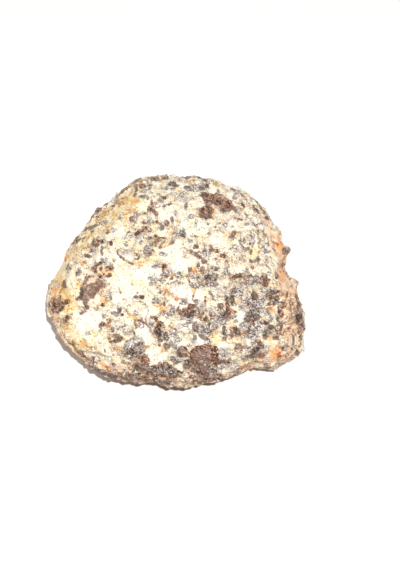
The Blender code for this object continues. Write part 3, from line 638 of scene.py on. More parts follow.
SILVER_TONES = (
    (0.28, (0.160, 0.130, 0.112)),
    (0.45, (0.350, 0.300, 0.262)),
    (0.65, (0.640, 0.585, 0.530)),
)
GREY_TONES = (
    (0.28, (0.040, 0.029, 0.025)),
    (0.44, (0.130, 0.098, 0.085)),
    (0.58, (0.275, 0.220, 0.192)),
    (0.68, (0.480, 0.420, 0.375)),
    (0.80, (0.780, 0.750, 0.720)),
)

# What is laid over the ground mass: how strongly, and its colour. Specks are of two colours. The glints are
# painted highlights: pale specks that stand for light glinting off the grains.
CRACKS = (0.70, (0.260, 0.150, 0.080, 1.0))
WRINKLES = (0.75, (0.210, 0.135, 0.095, 1.0))
PAINTED_GLINTS = (0.85, (0.80, 0.77, 0.71, 1.0))
DARK_SPOTS, SPECKS, ORANGE = 0.92, 0.85, 0.85
SPECK_COLOURS = (0.070, 0.048, 0.038, 1.0), (0.21, 0.090, 0.042, 1.0)

# Tints that the colours under them are multiplied by. The grime and shade tint darkens grimy ground and also
# lays painted shade, darker towards the bottom and on surfaces facing down.
STRAW_TINT = (1.0, 0.88, 0.62, 1.0)
PEACH_TINT = (1.0, 0.76, 0.62, 1.0)
GRIME_AND_SHADE_TINT = (0.61, 0.50, 0.43, 1.0)
ORANGE_TINT = (1.0, 0.62, 0.33, 1.0)

# The material's gloss and its finest relief, whose depth is in millimetres.
ROUGHNESS = 0.7
BUMP_STRENGTH, BUMP_DEPTH = 0.8, 0.4

# The noises of the material: size in millimetres, detail, roughness and shift.
NOISES = {
    "fine": (0.85, 2.0, 0.60, 0.0),
    "medium": (2.4, 3.0, 0.6, 9.0),
    "rough": (1.15, 3.0, 0.65, 47.0),
    "broad hue": (8.0, 3.0, 0.55, 17.0),
    "close hue": (1.6, 2.0, 0.6, 23.0),
    "mottles": (2.6, 4.0, 0.7, 31.0),
    "cracked ground": (5.0, 2.0, 0.5, 71.0),
    "wrinkles": (3.0, 3.0, 0.6, 83.0),
    "wrinkled ground": (4.5, 2.0, 0.5, 77.0),
    "bump": (0.45, 2.0, 0.5, 2.0),
}

# The kinds of grain, from the lowest to the topmost: how each is coloured, how much it covers, how soft its
# rim is and how grainy it is inside. The painted glints, pale specks standing for highlights, lie between the
# two groups.
LOWER_GRAINS = (
    ("silver", SILVER_TONES, 0.75, 0.35, 1.8),
    ("grey", GREY_TONES, 0.84, 0.34, 2.3),
)
UPPER_GRAINS = (
    ("brown", BROWN_TONES, 0.95, 0.10, 1.1),
    ("tan", TAN_TONES, 0.95, 0.12, 1.2),
    ("rust", RUST_TONES, 0.95, 0.10, 1.9),
    ("dark", DARK_TONES, 0.86, 0.26, 2.2),
)


def unit(vector):
    vector = np.asarray(vector, float)
    return vector / np.linalg.norm(vector)


def unit_rows(vectors):
    return vectors / np.linalg.norm(vectors, axis=1)[:, None]


def smooth_step(value, start, end):
    """0 below start, 1 above end, and a smooth slope between them."""
    share = np.clip((value - start) / (end - start), 0.0, 1.0)
    return share * share * (3.0 - 2.0 * share)


def turned(first, second, turn):
    """Both axes, turned by so many radians in their plane."""
    return first * np.cos(turn) + second * np.sin(turn), second * np.cos(turn) - first * np.sin(turn)


def tangents(normals):
    """Two directions along the surface at each point."""
    first = unit_rows(np.cross(normals, (0.3, 0.5, 0.81)))
    return first, np.cross(normals, first)


def few_long(rng, lengths, power, count=None):
    """Random lengths between two limits, more of them short than long."""
    return lengths[0] + (lengths[1] - lengths[0]) * rng.random(count) ** power


def link_object(name, data):
    made = bpy.data.objects.new(name, data)
    bpy.context.scene.collection.objects.link(made)
    return made


def store(mesh, name, values):
    attribute = mesh.attributes.new(name, "FLOAT", "POINT")
    attribute.data.foreach_set("value", values.astype(np.float32))


def read(mesh, name):
    values = np.empty(len(mesh.vertices), np.float32)
    mesh.attributes[name].data.foreach_get("value", values)
    return values


def store_uv(mesh, u, v):
    layer = mesh.uv_layers.new(name="OFBake")
    layer.data.foreach_set("uv", np.stack([u, v], axis=2).astype(np.float32).ravel())


# -------------------------------------------------- camera


def in_picture(points, eye):
    """Where the camera at eye shows each point: x and y in pixels, y downwards."""
    offset = points - eye
    depth = -(offset @ TOWARD)
    x = PICTURE[0] / 2 + offset @ RIGHT / depth * FOCAL_PIXELS
    y = PICTURE[1] / 2 - offset @ UP / depth * FOCAL_PIXELS
    return x, y


def find_eye(points):
    """The camera's place that puts the stone's box in the picture where STONE_LEFT and the others say."""
    aim = points.mean(0)
    distance = CAMERA_DISTANCE
    for _ in range(EYE_ROUNDS):
        x, y = in_picture(points, aim + TOWARD * distance)
        pixel = distance / FOCAL_PIXELS
        aim = aim + RIGHT * ((x.min() + x.max()) / 2 - MIDDLE_X) * pixel
        aim = aim - UP * ((y.min() + y.max()) / 2 - MIDDLE_Y) * pixel
        distance *= (x.max() - x.min()) / (STONE_RIGHT - STONE_LEFT)
    return aim + TOWARD * distance


def add_camera(eye):
    data = bpy.data.cameras.new("camera")
    data.sensor_width = SENSOR
    data.lens = LENS
    data.clip_start = NEAR_CLIP
    camera = link_object("camera", data)
    camera.location = Vector(eye * MM)
    camera.rotation_euler = (math.pi / 2 - CAMERA_ELEVATION, 0.0, 0.0)
    bpy.context.scene.camera = camera


# -------------------------------------------------- the skin


class Skin:
    """The fine skin: its points, and the faces and edges that join them."""

    def __init__(self, mesh, points):
        self.mesh = mesh
        self.points = points
        corners = np.empty(len(mesh.polygons) * 4, int)
        mesh.loops.foreach_get("vertex_index", corners)
        self.quads = corners.reshape(-1, 4)
        edges = np.empty(len(mesh.edges) * 2, int)
        mesh.edges.foreach_get("vertices", edges)
        self.edges = edges.reshape(-1, 2)

    def spread(self, values, rounds):
        """Each point's value moves halfway to the mean of its neighbours', as many times over."""
        start, end = self.edges.T
        count = len(self.points)
        shares = np.bincount(start, minlength=count) + np.bincount(end, minlength=count)
        for _ in range(rounds):
            near = np.bincount(start, values[end], count) + np.bincount(end, values[start], count)
            values = 0.5 * values + 0.5 * near / shares
        return values

    def across(self):
        """For each face, a vector that stands on it and is twice as long as its area."""
        a, b, c, d = (self.points[self.quads[:, corner]] for corner in range(4))
        return np.cross(c - a, d - b)

    def gather(self, values):
        """For each point, the sum of its faces' values."""
        count = len(self.points)
        return sum(np.bincount(self.quads[:, corner], values, count) for corner in range(4))

    def normals(self):
        return unit_rows(np.stack([self.gather(column) for column in self.across().T], axis=1))

    def facing(self):
        """How squarely each point faces the camera: 1 straight at it, 0 edge on, -1 straight away."""
        return self.normals() @ TOWARD

    def areas(self):
        """The area of the surface that belongs to each point."""
        return self.gather(np.linalg.norm(self.across(), axis=1) / 2) / 4

    def tree(self):
        """The skin, for rays."""
        return BVHTree.FromPolygons([Vector(point) for point in self.points], self.quads.tolist())


def cube_mesh():
    """A cube of even cells with a side of 2, as a mesh."""
    bm = bmesh.new()
    bmesh.ops.create_cube(bm, size=2.0)
    bmesh.ops.subdivide_edges(bm, edges=bm.edges[:], cuts=SKIN_CELLS - 1, use_grid_fill=True)
    mesh = bpy.data.meshes.new("rock_surface")
    bm.to_mesh(mesh)
    bm.free()
    return mesh


def lay_out_cube(mesh, cube, quads):
    """A UV map with the cube's six sides in three columns and two rows."""
    corners = cube[quads]
    middles = corners.mean(axis=1)
    axis = np.abs(middles).argmax(axis=1)
    upper = middles[np.arange(len(quads)), axis] > 0
    others = np.array(((1, 2), (0, 2), (0, 1)))[axis]
    flat = np.take_along_axis(corners, others[:, None, :].repeat(4, 1), 2) * UV_MARGIN / 2 + 0.5
    store_uv(mesh, (flat[:, :, 0] + axis[:, None]) / 3, (flat[:, :, 1] + upper[:, None]) / 2)


def solid_points():
    return np.array([vert.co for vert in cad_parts["rock"].data.vertices]) / MM


def solid_tree():
    """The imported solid, for rays, in millimetres."""
    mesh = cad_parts["rock"].data
    faces = [face.vertices for face in mesh.polygons]
    return BVHTree.FromPolygons([vert.co / MM for vert in mesh.vertices], faces)


def make_skin():
    mesh = cube_mesh()
    cube = np.array([vert.co for vert in mesh.vertices])
    directions = unit_rows(unit_rows(np.tan(cube * math.pi / 4.0)) + SKIN_FINER)
    tree = solid_tree()
    heart = Vector(SKIN_HEART)
    skin = Skin(mesh, np.array([tree.ray_cast(heart, Vector(direction))[0] for direction in directions]))
    lay_out_cube(mesh, cube, skin.quads)
    skin.points = np.stack([skin.spread(column, SKIN_SMOOTHING) for column in skin.points.T], axis=1)
    return skin


# -------------------------------------------------- grains and relief


def layered(points):
    axis = unit(LAYER_AXIS)
    return points + np.outer(points @ axis, axis) * (LAYERING - 1.0)


def noise_at(points, size, seed, octaves=1, roughness=0.5):
    """Noise of this size in millimetres, mostly between -0.5 and 0.5."""
    offset = Vector([seed * step for step in NOISE_STEPS])
    total = np.zeros(len(points))
    share = 1.0
    for _ in range(octaves):
        total += share * np.array([noise.noise(Vector(point) + offset) for point in points / size])
        size /= 2.0
        share *= roughness
        offset = offset * 1.7
    return total


def wandering(points, eye, reach, size, seed):
    """Where the camera shows each point, moved about by up to reach pixels."""
    x, y = in_picture(points, eye)
    return x + reach * noise_at(points, size, seed, 2), y + reach * noise_at(points, size, seed + 2, 2)


class Marks:
    """The grains of one kind on the skin: how many millimetres inside a grain each point is."""

    def __init__(self, skin):
        self.skin = skin
        self.inside = np.full(len(skin.points), FAR_OUTSIDE)

    def add(self, near, out, radius, warp=0.4):
        """Adds a grain. out is 0 at its middle and 1 at its rim, for the points numbered in near."""
        out = out + warp * noise_at(self.skin.points[near], 0.6 * radius + 0.8, radius * 9.0, 2)
        self.inside[near] = np.maximum(self.inside[near], (1.0 - out) * radius + GRAIN_GAIN)


def place_on_stone(tree, eye, x, y):
    """Where on the stone, or else on its rim, the picture shows x, y, and the size of a pixel there."""
    aim = unit(RIGHT * (x - PICTURE[0] / 2) - UP * (y - PICTURE[1] / 2) - TOWARD * FOCAL_PIXELS)
    place = tree.ray_cast(Vector(eye), Vector(aim))[0]
    if place is None:
        place = tree.find_nearest(Vector(eye + aim * CAMERA_DISTANCE))[0]
    place = np.array(place)
    return place, (place - eye) @ -TOWARD / FOCAL_PIXELS


def seen_ellipse(offset, length, width, turn):
    """0 at the middle of an ellipse in the picture, 1 at its rim. It doesn't reach far round the side."""
    long_axis, short_axis = turned(RIGHT, UP, math.radians(turn))
    seen = np.hypot(offset @ long_axis / (length / 2), offset @ short_axis / (width / 2))
    return np.maximum(seen, np.linalg.norm(offset, axis=1) / (0.9 * max(length, width)))


def seen_near(skin, tree, eye, x, y, length, width, turn=0):
    """The points near an ellipse in the picture, how far out each is, and its mean radius in millimetres."""
    place, pixel = place_on_stone(tree, eye, x, y)
    near = np.flatnonzero(np.linalg.norm(skin.points - place, axis=1) < 1.3 * max(length, width) * pixel)
    out = seen_ellipse(skin.points[near] - place, length * pixel, width * pixel, turn)
    return near, out, (length + width) * pixel / 4


def each_ellipse(groups):
    """Each ellipse of a list that is grouped by amount, with its amount."""
    return [(ellipse, amount) for amount, ellipses in groups.items() for ellipse in ellipses]


def seen_grains(skin, tree, eye, grains):
    marks = Marks(skin)
    for grain in grains:
        marks.add(*seen_near(skin, tree, eye, *grain))
    return marks


def from_path(x, y, path):
    """How far each point of the picture is from a path, and how far to the right-hand side of it."""
    nearest = np.full(len(x), np.inf)
    side = np.zeros(len(x))
    for (x0, y0), (x1, y1) in zip(path, path[1:]):
        length = math.hypot(x1 - x0, y1 - y0)
        run_x, run_y = (x1 - x0) / length, (y1 - y0) / length
        right, down = x - x0, y - y0
        along = np.clip(right * run_x + down * run_y, 0.0, length)
        apart = np.hypot(right - along * run_x, down - along * run_y)
        side = np.where(apart < nearest, down * run_x - right * run_y, side)
        nearest = np.minimum(nearest, apart)
    return nearest, side


def add_lines(marks, eye, lines, hidden):
    x, y = wandering(marks.skin.points, eye, *LINE_WANDER)
    for path, width in lines:
        apart, _ = from_path(x, y, path)
        inside = np.where(hidden < 0.7, (width / 2 - apart) * PIXEL + LINE_GAIN, FAR_OUTSIDE)
        marks.inside = np.maximum(marks.inside, inside)


def seen_forms(skin, tree, eye):
    """How far FORMS lift the skin."""
    lift = np.zeros(len(skin.points))
    for ellipse, height in each_ellipse(FORMS):
        near, out, _ = seen_near(skin, tree, eye, *ellipse)
        out = out + 0.3 * noise_at(skin.points[near], *FORM_NOISE)
        lift[near] += height * (1.0 - smooth_step(out, 0.65, 1.05))
    return lift


def add_washes(skin, tree, eye, washes):
    """A value for each point: the sum of the washes that it lies in."""
    total = np.zeros(len(skin.points))
    for ellipse, amount in each_ellipse(washes):
        near, out, _ = seen_near(skin, tree, eye, *ellipse)
        total[near] += amount * (1.0 - smooth_step(out, 0.3, 1.3))
    return total


def strew_grains(marks, lift, count, lengths, heights, seed):
    """Strews grains of one kind over the sides that the camera doesn't see, and adds their height to lift."""
    points = marks.skin.points
    rng = np.random.default_rng(seed)
    tree = KDTree(len(points))
    for index, point in enumerate(points):
        tree.insert(point, index)
    tree.balance()
    normals = marks.skin.normals()
    firsts, seconds = tangents(normals)
    for _ in range(count):
        at = rng.integers(len(points))
        length = few_long(rng, lengths, STREWN_POWER)
        width = length * rng.uniform(0.5, 1.0)
        turn = rng.uniform(0.0, math.pi)
        height = rng.uniform(*heights) * length / lengths[1]
        if normals[at] @ TOWARD > STREWN_FACING:
            continue
        long_axis, short_axis = turned(firsts[at], seconds[at], turn)
        near = np.array([found[1] for found in tree.find_range(points[at], length * 1.2)])
        offset = points[near] - points[at]
        out = np.hypot(offset @ long_axis / (length / 2), offset @ short_axis / (width / 2))
        out = np.hypot(out, offset @ normals[at] / length)
        marks.add(near, out, (length + width) / 4, warp=0.55)
        lift[near] += height * (1.0 - smooth_step(out, 0.6, 1.1))


def drop_ledges(skin, eye):
    """Steps in the surface along the lines of LEDGES, on the side of the stone that the camera sees."""
    x, y = wandering(skin.points, eye, *LEDGE_WANDER)
    lift = np.zeros(len(skin.points))
    for path, height, width in LEDGES:
        nearest, side = from_path(x, y, path)
        lift += height * np.clip(1.0 - nearest / width, 0.0, 1.0) * smooth_step(side, -0.6, 0.6)
    return lift * smooth_step(skin.facing(), -0.1, 0.2)


def hidden_share(skin):
    """0 on the sides that the camera sees, 1 on those that it doesn't."""
    return smooth_step(-skin.facing(), -0.35, 0.1)


def find_kinds(skin, tree, eye, strewn, hidden):
    """How far inside a grain of each kind each point of the skin is."""
    kinds = {name: seen_grains(skin, tree, eye, grains) for name, grains in SEEN_GRAINS.items()}
    add_lines(kinds["rust"], eye, RUST_LINES, hidden)
    add_lines(kinds["dark"], eye, DARK_LINES, hidden)
    inside = {name: marks.inside for name, marks in kinds.items()}
    for name, marks in strewn.items():
        inside[name] = np.maximum(inside[name], marks.inside)
    return inside


def grime_and_shade_on(skin, kinds, tone, hidden, underside_shade):
    """How grimy each point is, with painted light and shade in it: pale patches are clean, the tone washes'
    painted light and shade are taken in, and surfaces facing down are painted in shade.
    """
    grime_and_shade = noise_at(layered(skin.points), *GRIME_NOISE) * (GRIME_STRENGTH + HIDDEN_GRIME * hidden) - tone
    grime_and_shade += PALE_GRIME * smooth_step(kinds["pale"], -1.5, 0.5)
    darkest = np.max([kinds[name] for name in ("rust", "brown", "tan", "grey", "dark")], axis=0)
    grime_and_shade += GRAIN_GRIME * smooth_step(darkest, -1.4, 0.2)
    return grime_and_shade + (UNDERSIDE_SHADE - HIDDEN_UNDERSIDE_SHADE * hidden) * underside_shade


def roughen(skin, lift, kinds, grime_and_shade):
    """Moves the skin in and out by lift, grit, mounds, cells and pits, and stores what stands out as relief.

    Ground with much grime and painted shade lies deeper and is rougher. Brown and tan grains and the rim in
    the picture are calmer.
    """
    points = skin.points
    grimy_and_shaded = smooth_step(grime_and_shade, -0.05, 0.12)
    sleek = smooth_step(np.maximum(kinds["brown"], kinds["tan"]), -0.2, 0.5)
    calm = (1.0 - 0.6 * sleek) * (0.55 + 0.45 * smooth_step(np.abs(skin.facing()), 0.05, 0.40))
    lift = lift - GRIMY_DEPTH * grimy_and_shaded
    lift += (GRIT_HEIGHT + GRIMY_GRIT * grimy_and_shaded) * calm * noise_at(points, *GRIT_NOISE)
    lift += MOUND_HEIGHT * noise_at(points, *MOUND_NOISE)
    cells = np.array([noise.voronoi(Vector(point))[0][:2] for point in layered(points) / CELL_SIZE])
    raised = smooth_step(cells[:, 1] - cells[:, 0], 0.0, 0.30)
    lift += CELL_HEIGHT * raised * (0.35 + 0.65 * grimy_and_shaded) * calm
    lift -= PIT_DEPTH * smooth_step(noise_at(points, *PIT_NOISE), 0.30, 0.45)
    store(skin.mesh, "relief", lift - skin.spread(lift, RELIEF_ROUNDS))
    skin.points = points + skin.normals() * (lift - SKIN_DEPTH)[:, None]


def trim_rim(skin, tree, eye):
    """Moves the rim towards the stone's middle in the picture, by what RIM_TRIMS says."""
    moves = np.zeros_like(skin.points)
    for ellipse, amount in each_ellipse(RIM_TRIMS):
        near, out, _ = seen_near(skin, tree, eye, *ellipse)
        inwards = unit(RIGHT * (MIDDLE_X - ellipse[0]) + UP * (ellipse[1] - MIDDLE_Y))
        moves[near] += np.outer(amount * (1.0 - smooth_step(out, 0.4, 1.2)), inwards)
    skin.points = skin.points + moves


def store_stains(skin, tree, eye, hidden):
    for name, (washes, size, seed) in STAINS.items():
        unseen = hidden * (0.06 + 0.7 * noise_at(skin.points, size, seed, 2))
        store(skin.mesh, name, add_washes(skin, tree, eye, washes) + unseen)


def finish_skin(skin, material):
    mesh = skin.mesh
    mesh.vertices.foreach_set("co", (skin.points * MM).astype(np.float32).ravel())
    mesh.shade_smooth()
    mesh.update()
    mesh.materials.append(material)
    rock = link_object("rock_surface", mesh)
    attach(rock, "root")
    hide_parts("rock")


# -------------------------------------------------- crumbs


def rough_ball():
    """The corners and triangles of a ball with few faces."""
    bm = bmesh.new()
    bmesh.ops.create_icosphere(bm, subdivisions=1, radius=1.0)
    corners = np.array([vert.co for vert in bm.verts])
    faces = np.array([[vert.index for vert in face.verts] for face in bm.faces])
    bm.free()
    return corners, faces


def random_turns(rng, count):
    """Rotation matrices, any way round."""
    w, x, y, z = unit_rows(rng.normal(size=(count, 4))).T
    rows = (
        (1 - 2 * (y * y + z * z), 2 * (x * y - z * w), 2 * (x * z + y * w)),
        (2 * (x * y + z * w), 1 - 2 * (x * x + z * z), 2 * (y * z - x * w)),
        (2 * (x * z - y * w), 2 * (y * z + x * w), 1 - 2 * (x * x + y * y)),
    )
    return np.moveaxis(np.array(rows), 2, 0)


def lay_out_crumbs(mesh, count, faces_each):
    """A UV map with a square for each crumb, and a smaller square in it for each of its triangles."""
    crumb = np.repeat(np.arange(count), faces_each)
    face = np.tile(np.arange(faces_each), count)
    squares = math.ceil(math.sqrt(count))
    inner = math.ceil(math.sqrt(faces_each))
    left = crumb % squares + (face % inner) / inner
    low = crumb // squares + (face // inner) / inner
    u = (left[:, None] + np.array((0.05, 0.95, 0.05)) / inner) / squares
    v = (low[:, None] + np.array((0.05, 0.05, 0.95)) / inner) / squares
    store_uv(mesh, u, v)


def crumb_fields(skin, at, rng):
    """What each crumb's material reads: what the skin has where it sits, and its own kind over that."""
    names = (*SEEN_GRAINS, *STAINS, "relief", "grime_and_shade")
    fields = {name: read(skin.mesh, name)[at] for name in names}
    grimy_and_shaded = smooth_step(fields["grime_and_shade"], -0.15, 0.15)[:, None]
    shares = CRUMB_SHARES[0] * (1.0 - grimy_and_shaded) + CRUMB_SHARES[1] * grimy_and_shaded
    draw = rng.random(len(at))[:, None]
    limits = np.cumsum(shares, axis=1)
    rust, grey, dark, ochre = ((draw < limits) & (draw >= limits - shares)).T
    grains = [fields[name] for name in ("rust", "grey", "brown", "tan", "dark", "silver")]
    bare = np.max(grains, axis=0) < 0.0
    for name, chosen in (("rust", rust), ("grey", grey), ("dark", dark)):
        fields[name] = np.where(chosen & bare, 1.0, fields[name])
    fields["yellow"] = fields["yellow"] + OCHRE_CRUMB * ochre
    fields["crumb"] = rng.uniform(-1.0, 1.0, len(at))
    fields["relief"] = fields["relief"] + CRUMB_RELIEF
    return fields


def crumb_places(skin, rng, count):
    """The skin's points that crumbs sit on. Few sit on brown and tan grains or on the rim in the picture."""
    sleek = np.maximum(read(skin.mesh, "brown"), read(skin.mesh, "tan"))
    chance = skin.areas() * (skin.points[:, 2] > CRUMB_LEAST)
    chance *= 1.0 - 0.85 * smooth_step(sleek, -0.2, 0.3)
    chance *= 0.10 + 0.90 * smooth_step(np.abs(skin.facing()), 0.10, 0.50)
    return rng.choice(len(skin.points), count, p=chance / chance.sum())


def crumb_shapes(skin, at, rng, ball, lengths, sunk):
    """The corners of each crumb: a lumpy ball, stretched, turned and sunk into the skin."""
    count = len(at)
    normals = skin.normals()[at]
    length = few_long(rng, lengths, CRUMB_POWER, count)[:, None]
    stretch = rng.uniform(*CRUMB_STRETCH, (count, 3)) * length / 2
    shape = np.einsum("nij,kj->nki", random_turns(rng, count), ball)
    shape = shape * rng.uniform(*CRUMB_LUMPS, (count, len(ball), 1)) * stretch[:, None, :]
    turn = rng.uniform(0.0, 2.0 * math.pi, count)[:, None]
    axes = np.stack([*turned(*tangents(normals), turn), normals], axis=1)
    middle = skin.points[at] - normals * (length * sunk)
    points = (middle[:, None, :] + np.einsum("nka,nac->nkc", shape, axes)).reshape(-1, 3)
    points[:, 2] = np.maximum(points[:, 2], 0.0)
    return points


def strew_crumbs(skin, material):
    count, lengths, seed, sunk = CRUMBS
    rng = np.random.default_rng(seed)
    ball, faces = rough_ball()
    at = crumb_places(skin, rng, count)
    points = crumb_shapes(skin, at, rng, ball, lengths, sunk)
    corners = (faces + (np.arange(count) * len(ball))[:, None, None]).reshape(-1, 3)
    mesh = bpy.data.meshes.new("crumbs")
    mesh.from_pydata((points * MM).tolist(), [], corners.tolist())
    mesh.update()
    lay_out_crumbs(mesh, count, len(faces))
    for name, values in crumb_fields(skin, at, rng).items():
        store(mesh, name, np.repeat(values, len(ball)))
    mesh.materials.append(material)
    crumbs = link_object("crumbs", mesh)
    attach(crumbs, "root")


# -------------------------------------------------- materials


class Shader:
    """Adds nodes to a material. Sizes are in millimetres. A value is a socket, a number or a colour."""

    def __init__(self, name):
        self.material = bpy.data.materials.new(name)
        self.material.use_nodes = True
        self.tree = self.material.node_tree
        self.surface = self.tree.nodes["Principled BSDF"]
        place = self.scaled(self.node("ShaderNodeTexCoord").outputs["Object"], 1.0 / MM)
        axis = tuple(unit(LAYER_AXIS))
        along = self.vector("DOT_PRODUCT", {0: place, 1: axis}).outputs["Value"]
        self.place = self.moved(place, self.scaled(axis, self.times(along, LAYERING - 1.0)))

    def node(self, kind, inputs=None, **settings):
        node = self.tree.nodes.new(kind)
        for name, value in settings.items():
            setattr(node, name, value)
        for name, value in (inputs or {}).items():
            self.feed(node.inputs[name], value)
        return node

    def feed(self, socket, value):
        if isinstance(value, bpy.types.NodeSocket):
            self.tree.links.new(value, socket)
        else:
            socket.default_value = value

    def vector(self, operation, inputs):
        return self.node("ShaderNodeVectorMath", inputs, operation=operation)

    def scaled(self, vector, scale):
        return self.vector("SCALE", {0: vector, "Scale": scale}).outputs["Vector"]

    def moved(self, place, offset):
        return self.vector("ADD", {0: place, 1: offset}).outputs["Vector"]

    def maths(self, operation, first, second=0.0):
        return self.node("ShaderNodeMath", {0: first, 1: second}, operation=operation).outputs[0]

    def times(self, first, second):
        return self.maths("MULTIPLY", first, second)

    def attribute(self, name):
        return self.node("ShaderNodeAttribute", attribute_name=name).outputs["Fac"]

    def noise(self, name):
        """One of NOISES, around 0 and mostly between -0.25 and 0.25."""
        size, detail, roughness, shift = NOISES[name]
        moved = self.moved(self.place, (shift, shift * 0.7, shift * 1.3))
        inputs = {"Vector": moved, "Scale": 1.0 / size, "Detail": detail, "Roughness": roughness}
        return self.maths("SUBTRACT", self.node("ShaderNodeTexNoise", inputs).outputs["Fac"], 0.5)

    def cells(self, size, warp, feature):
        """Random cells of this size, shoved about by up to warp, so that they lose their straight sides."""
        stir = self.node("ShaderNodeTexNoise", {"Vector": self.place, "Scale": 1.6 / size})
        shove = self.vector("SUBTRACT", {0: stir.outputs["Color"], 1: (0.5, 0.5, 0.5)}).outputs["Vector"]
        place = self.moved(self.place, self.scaled(shove, warp))
        inputs = {"Vector": place, "Scale": 1.0 / size}
        return self.node("ShaderNodeTexVoronoi", inputs, feature=feature).outputs

    def step(self, value, start, end):
        """0 where the value is at start, 1 at end, and a smooth slope between them."""
        inputs = {"Value": value, "From Min": start, "From Max": end}
        return self.node("ShaderNodeMapRange", inputs, interpolation_type="SMOOTHSTEP").outputs["Result"]

    def mix(self, share, first, second, blend="MIX"):
        node = self.node("ShaderNodeMix", data_type="RGBA", blend_type=blend)
        for socket, value in zip([s for s in node.inputs if s.enabled], (share, first, second)):
            self.feed(socket, value)
        return next(s for s in node.outputs if s.enabled)

    def total(self, *terms):
        """The sum of pairs of a value and its weight."""
        result = None
        for value, weight in terms:
            term = self.times(value, weight)
            result = term if result is None else self.maths("ADD", result, term)
        return result

    def ramp(self, value, stops):
        """Colours along a scale: pairs of a place between 0 and 1 and a colour."""
        node = self.node("ShaderNodeValToRGB", {"Fac": value})
        elements = node.color_ramp.elements
        while len(elements) < len(stops):
            elements.new(0.5)
        for element, (place, colour) in zip(elements, stops):
            element.position = place
            element.color = (*colour, 1.0)
        return node.outputs["Color"]


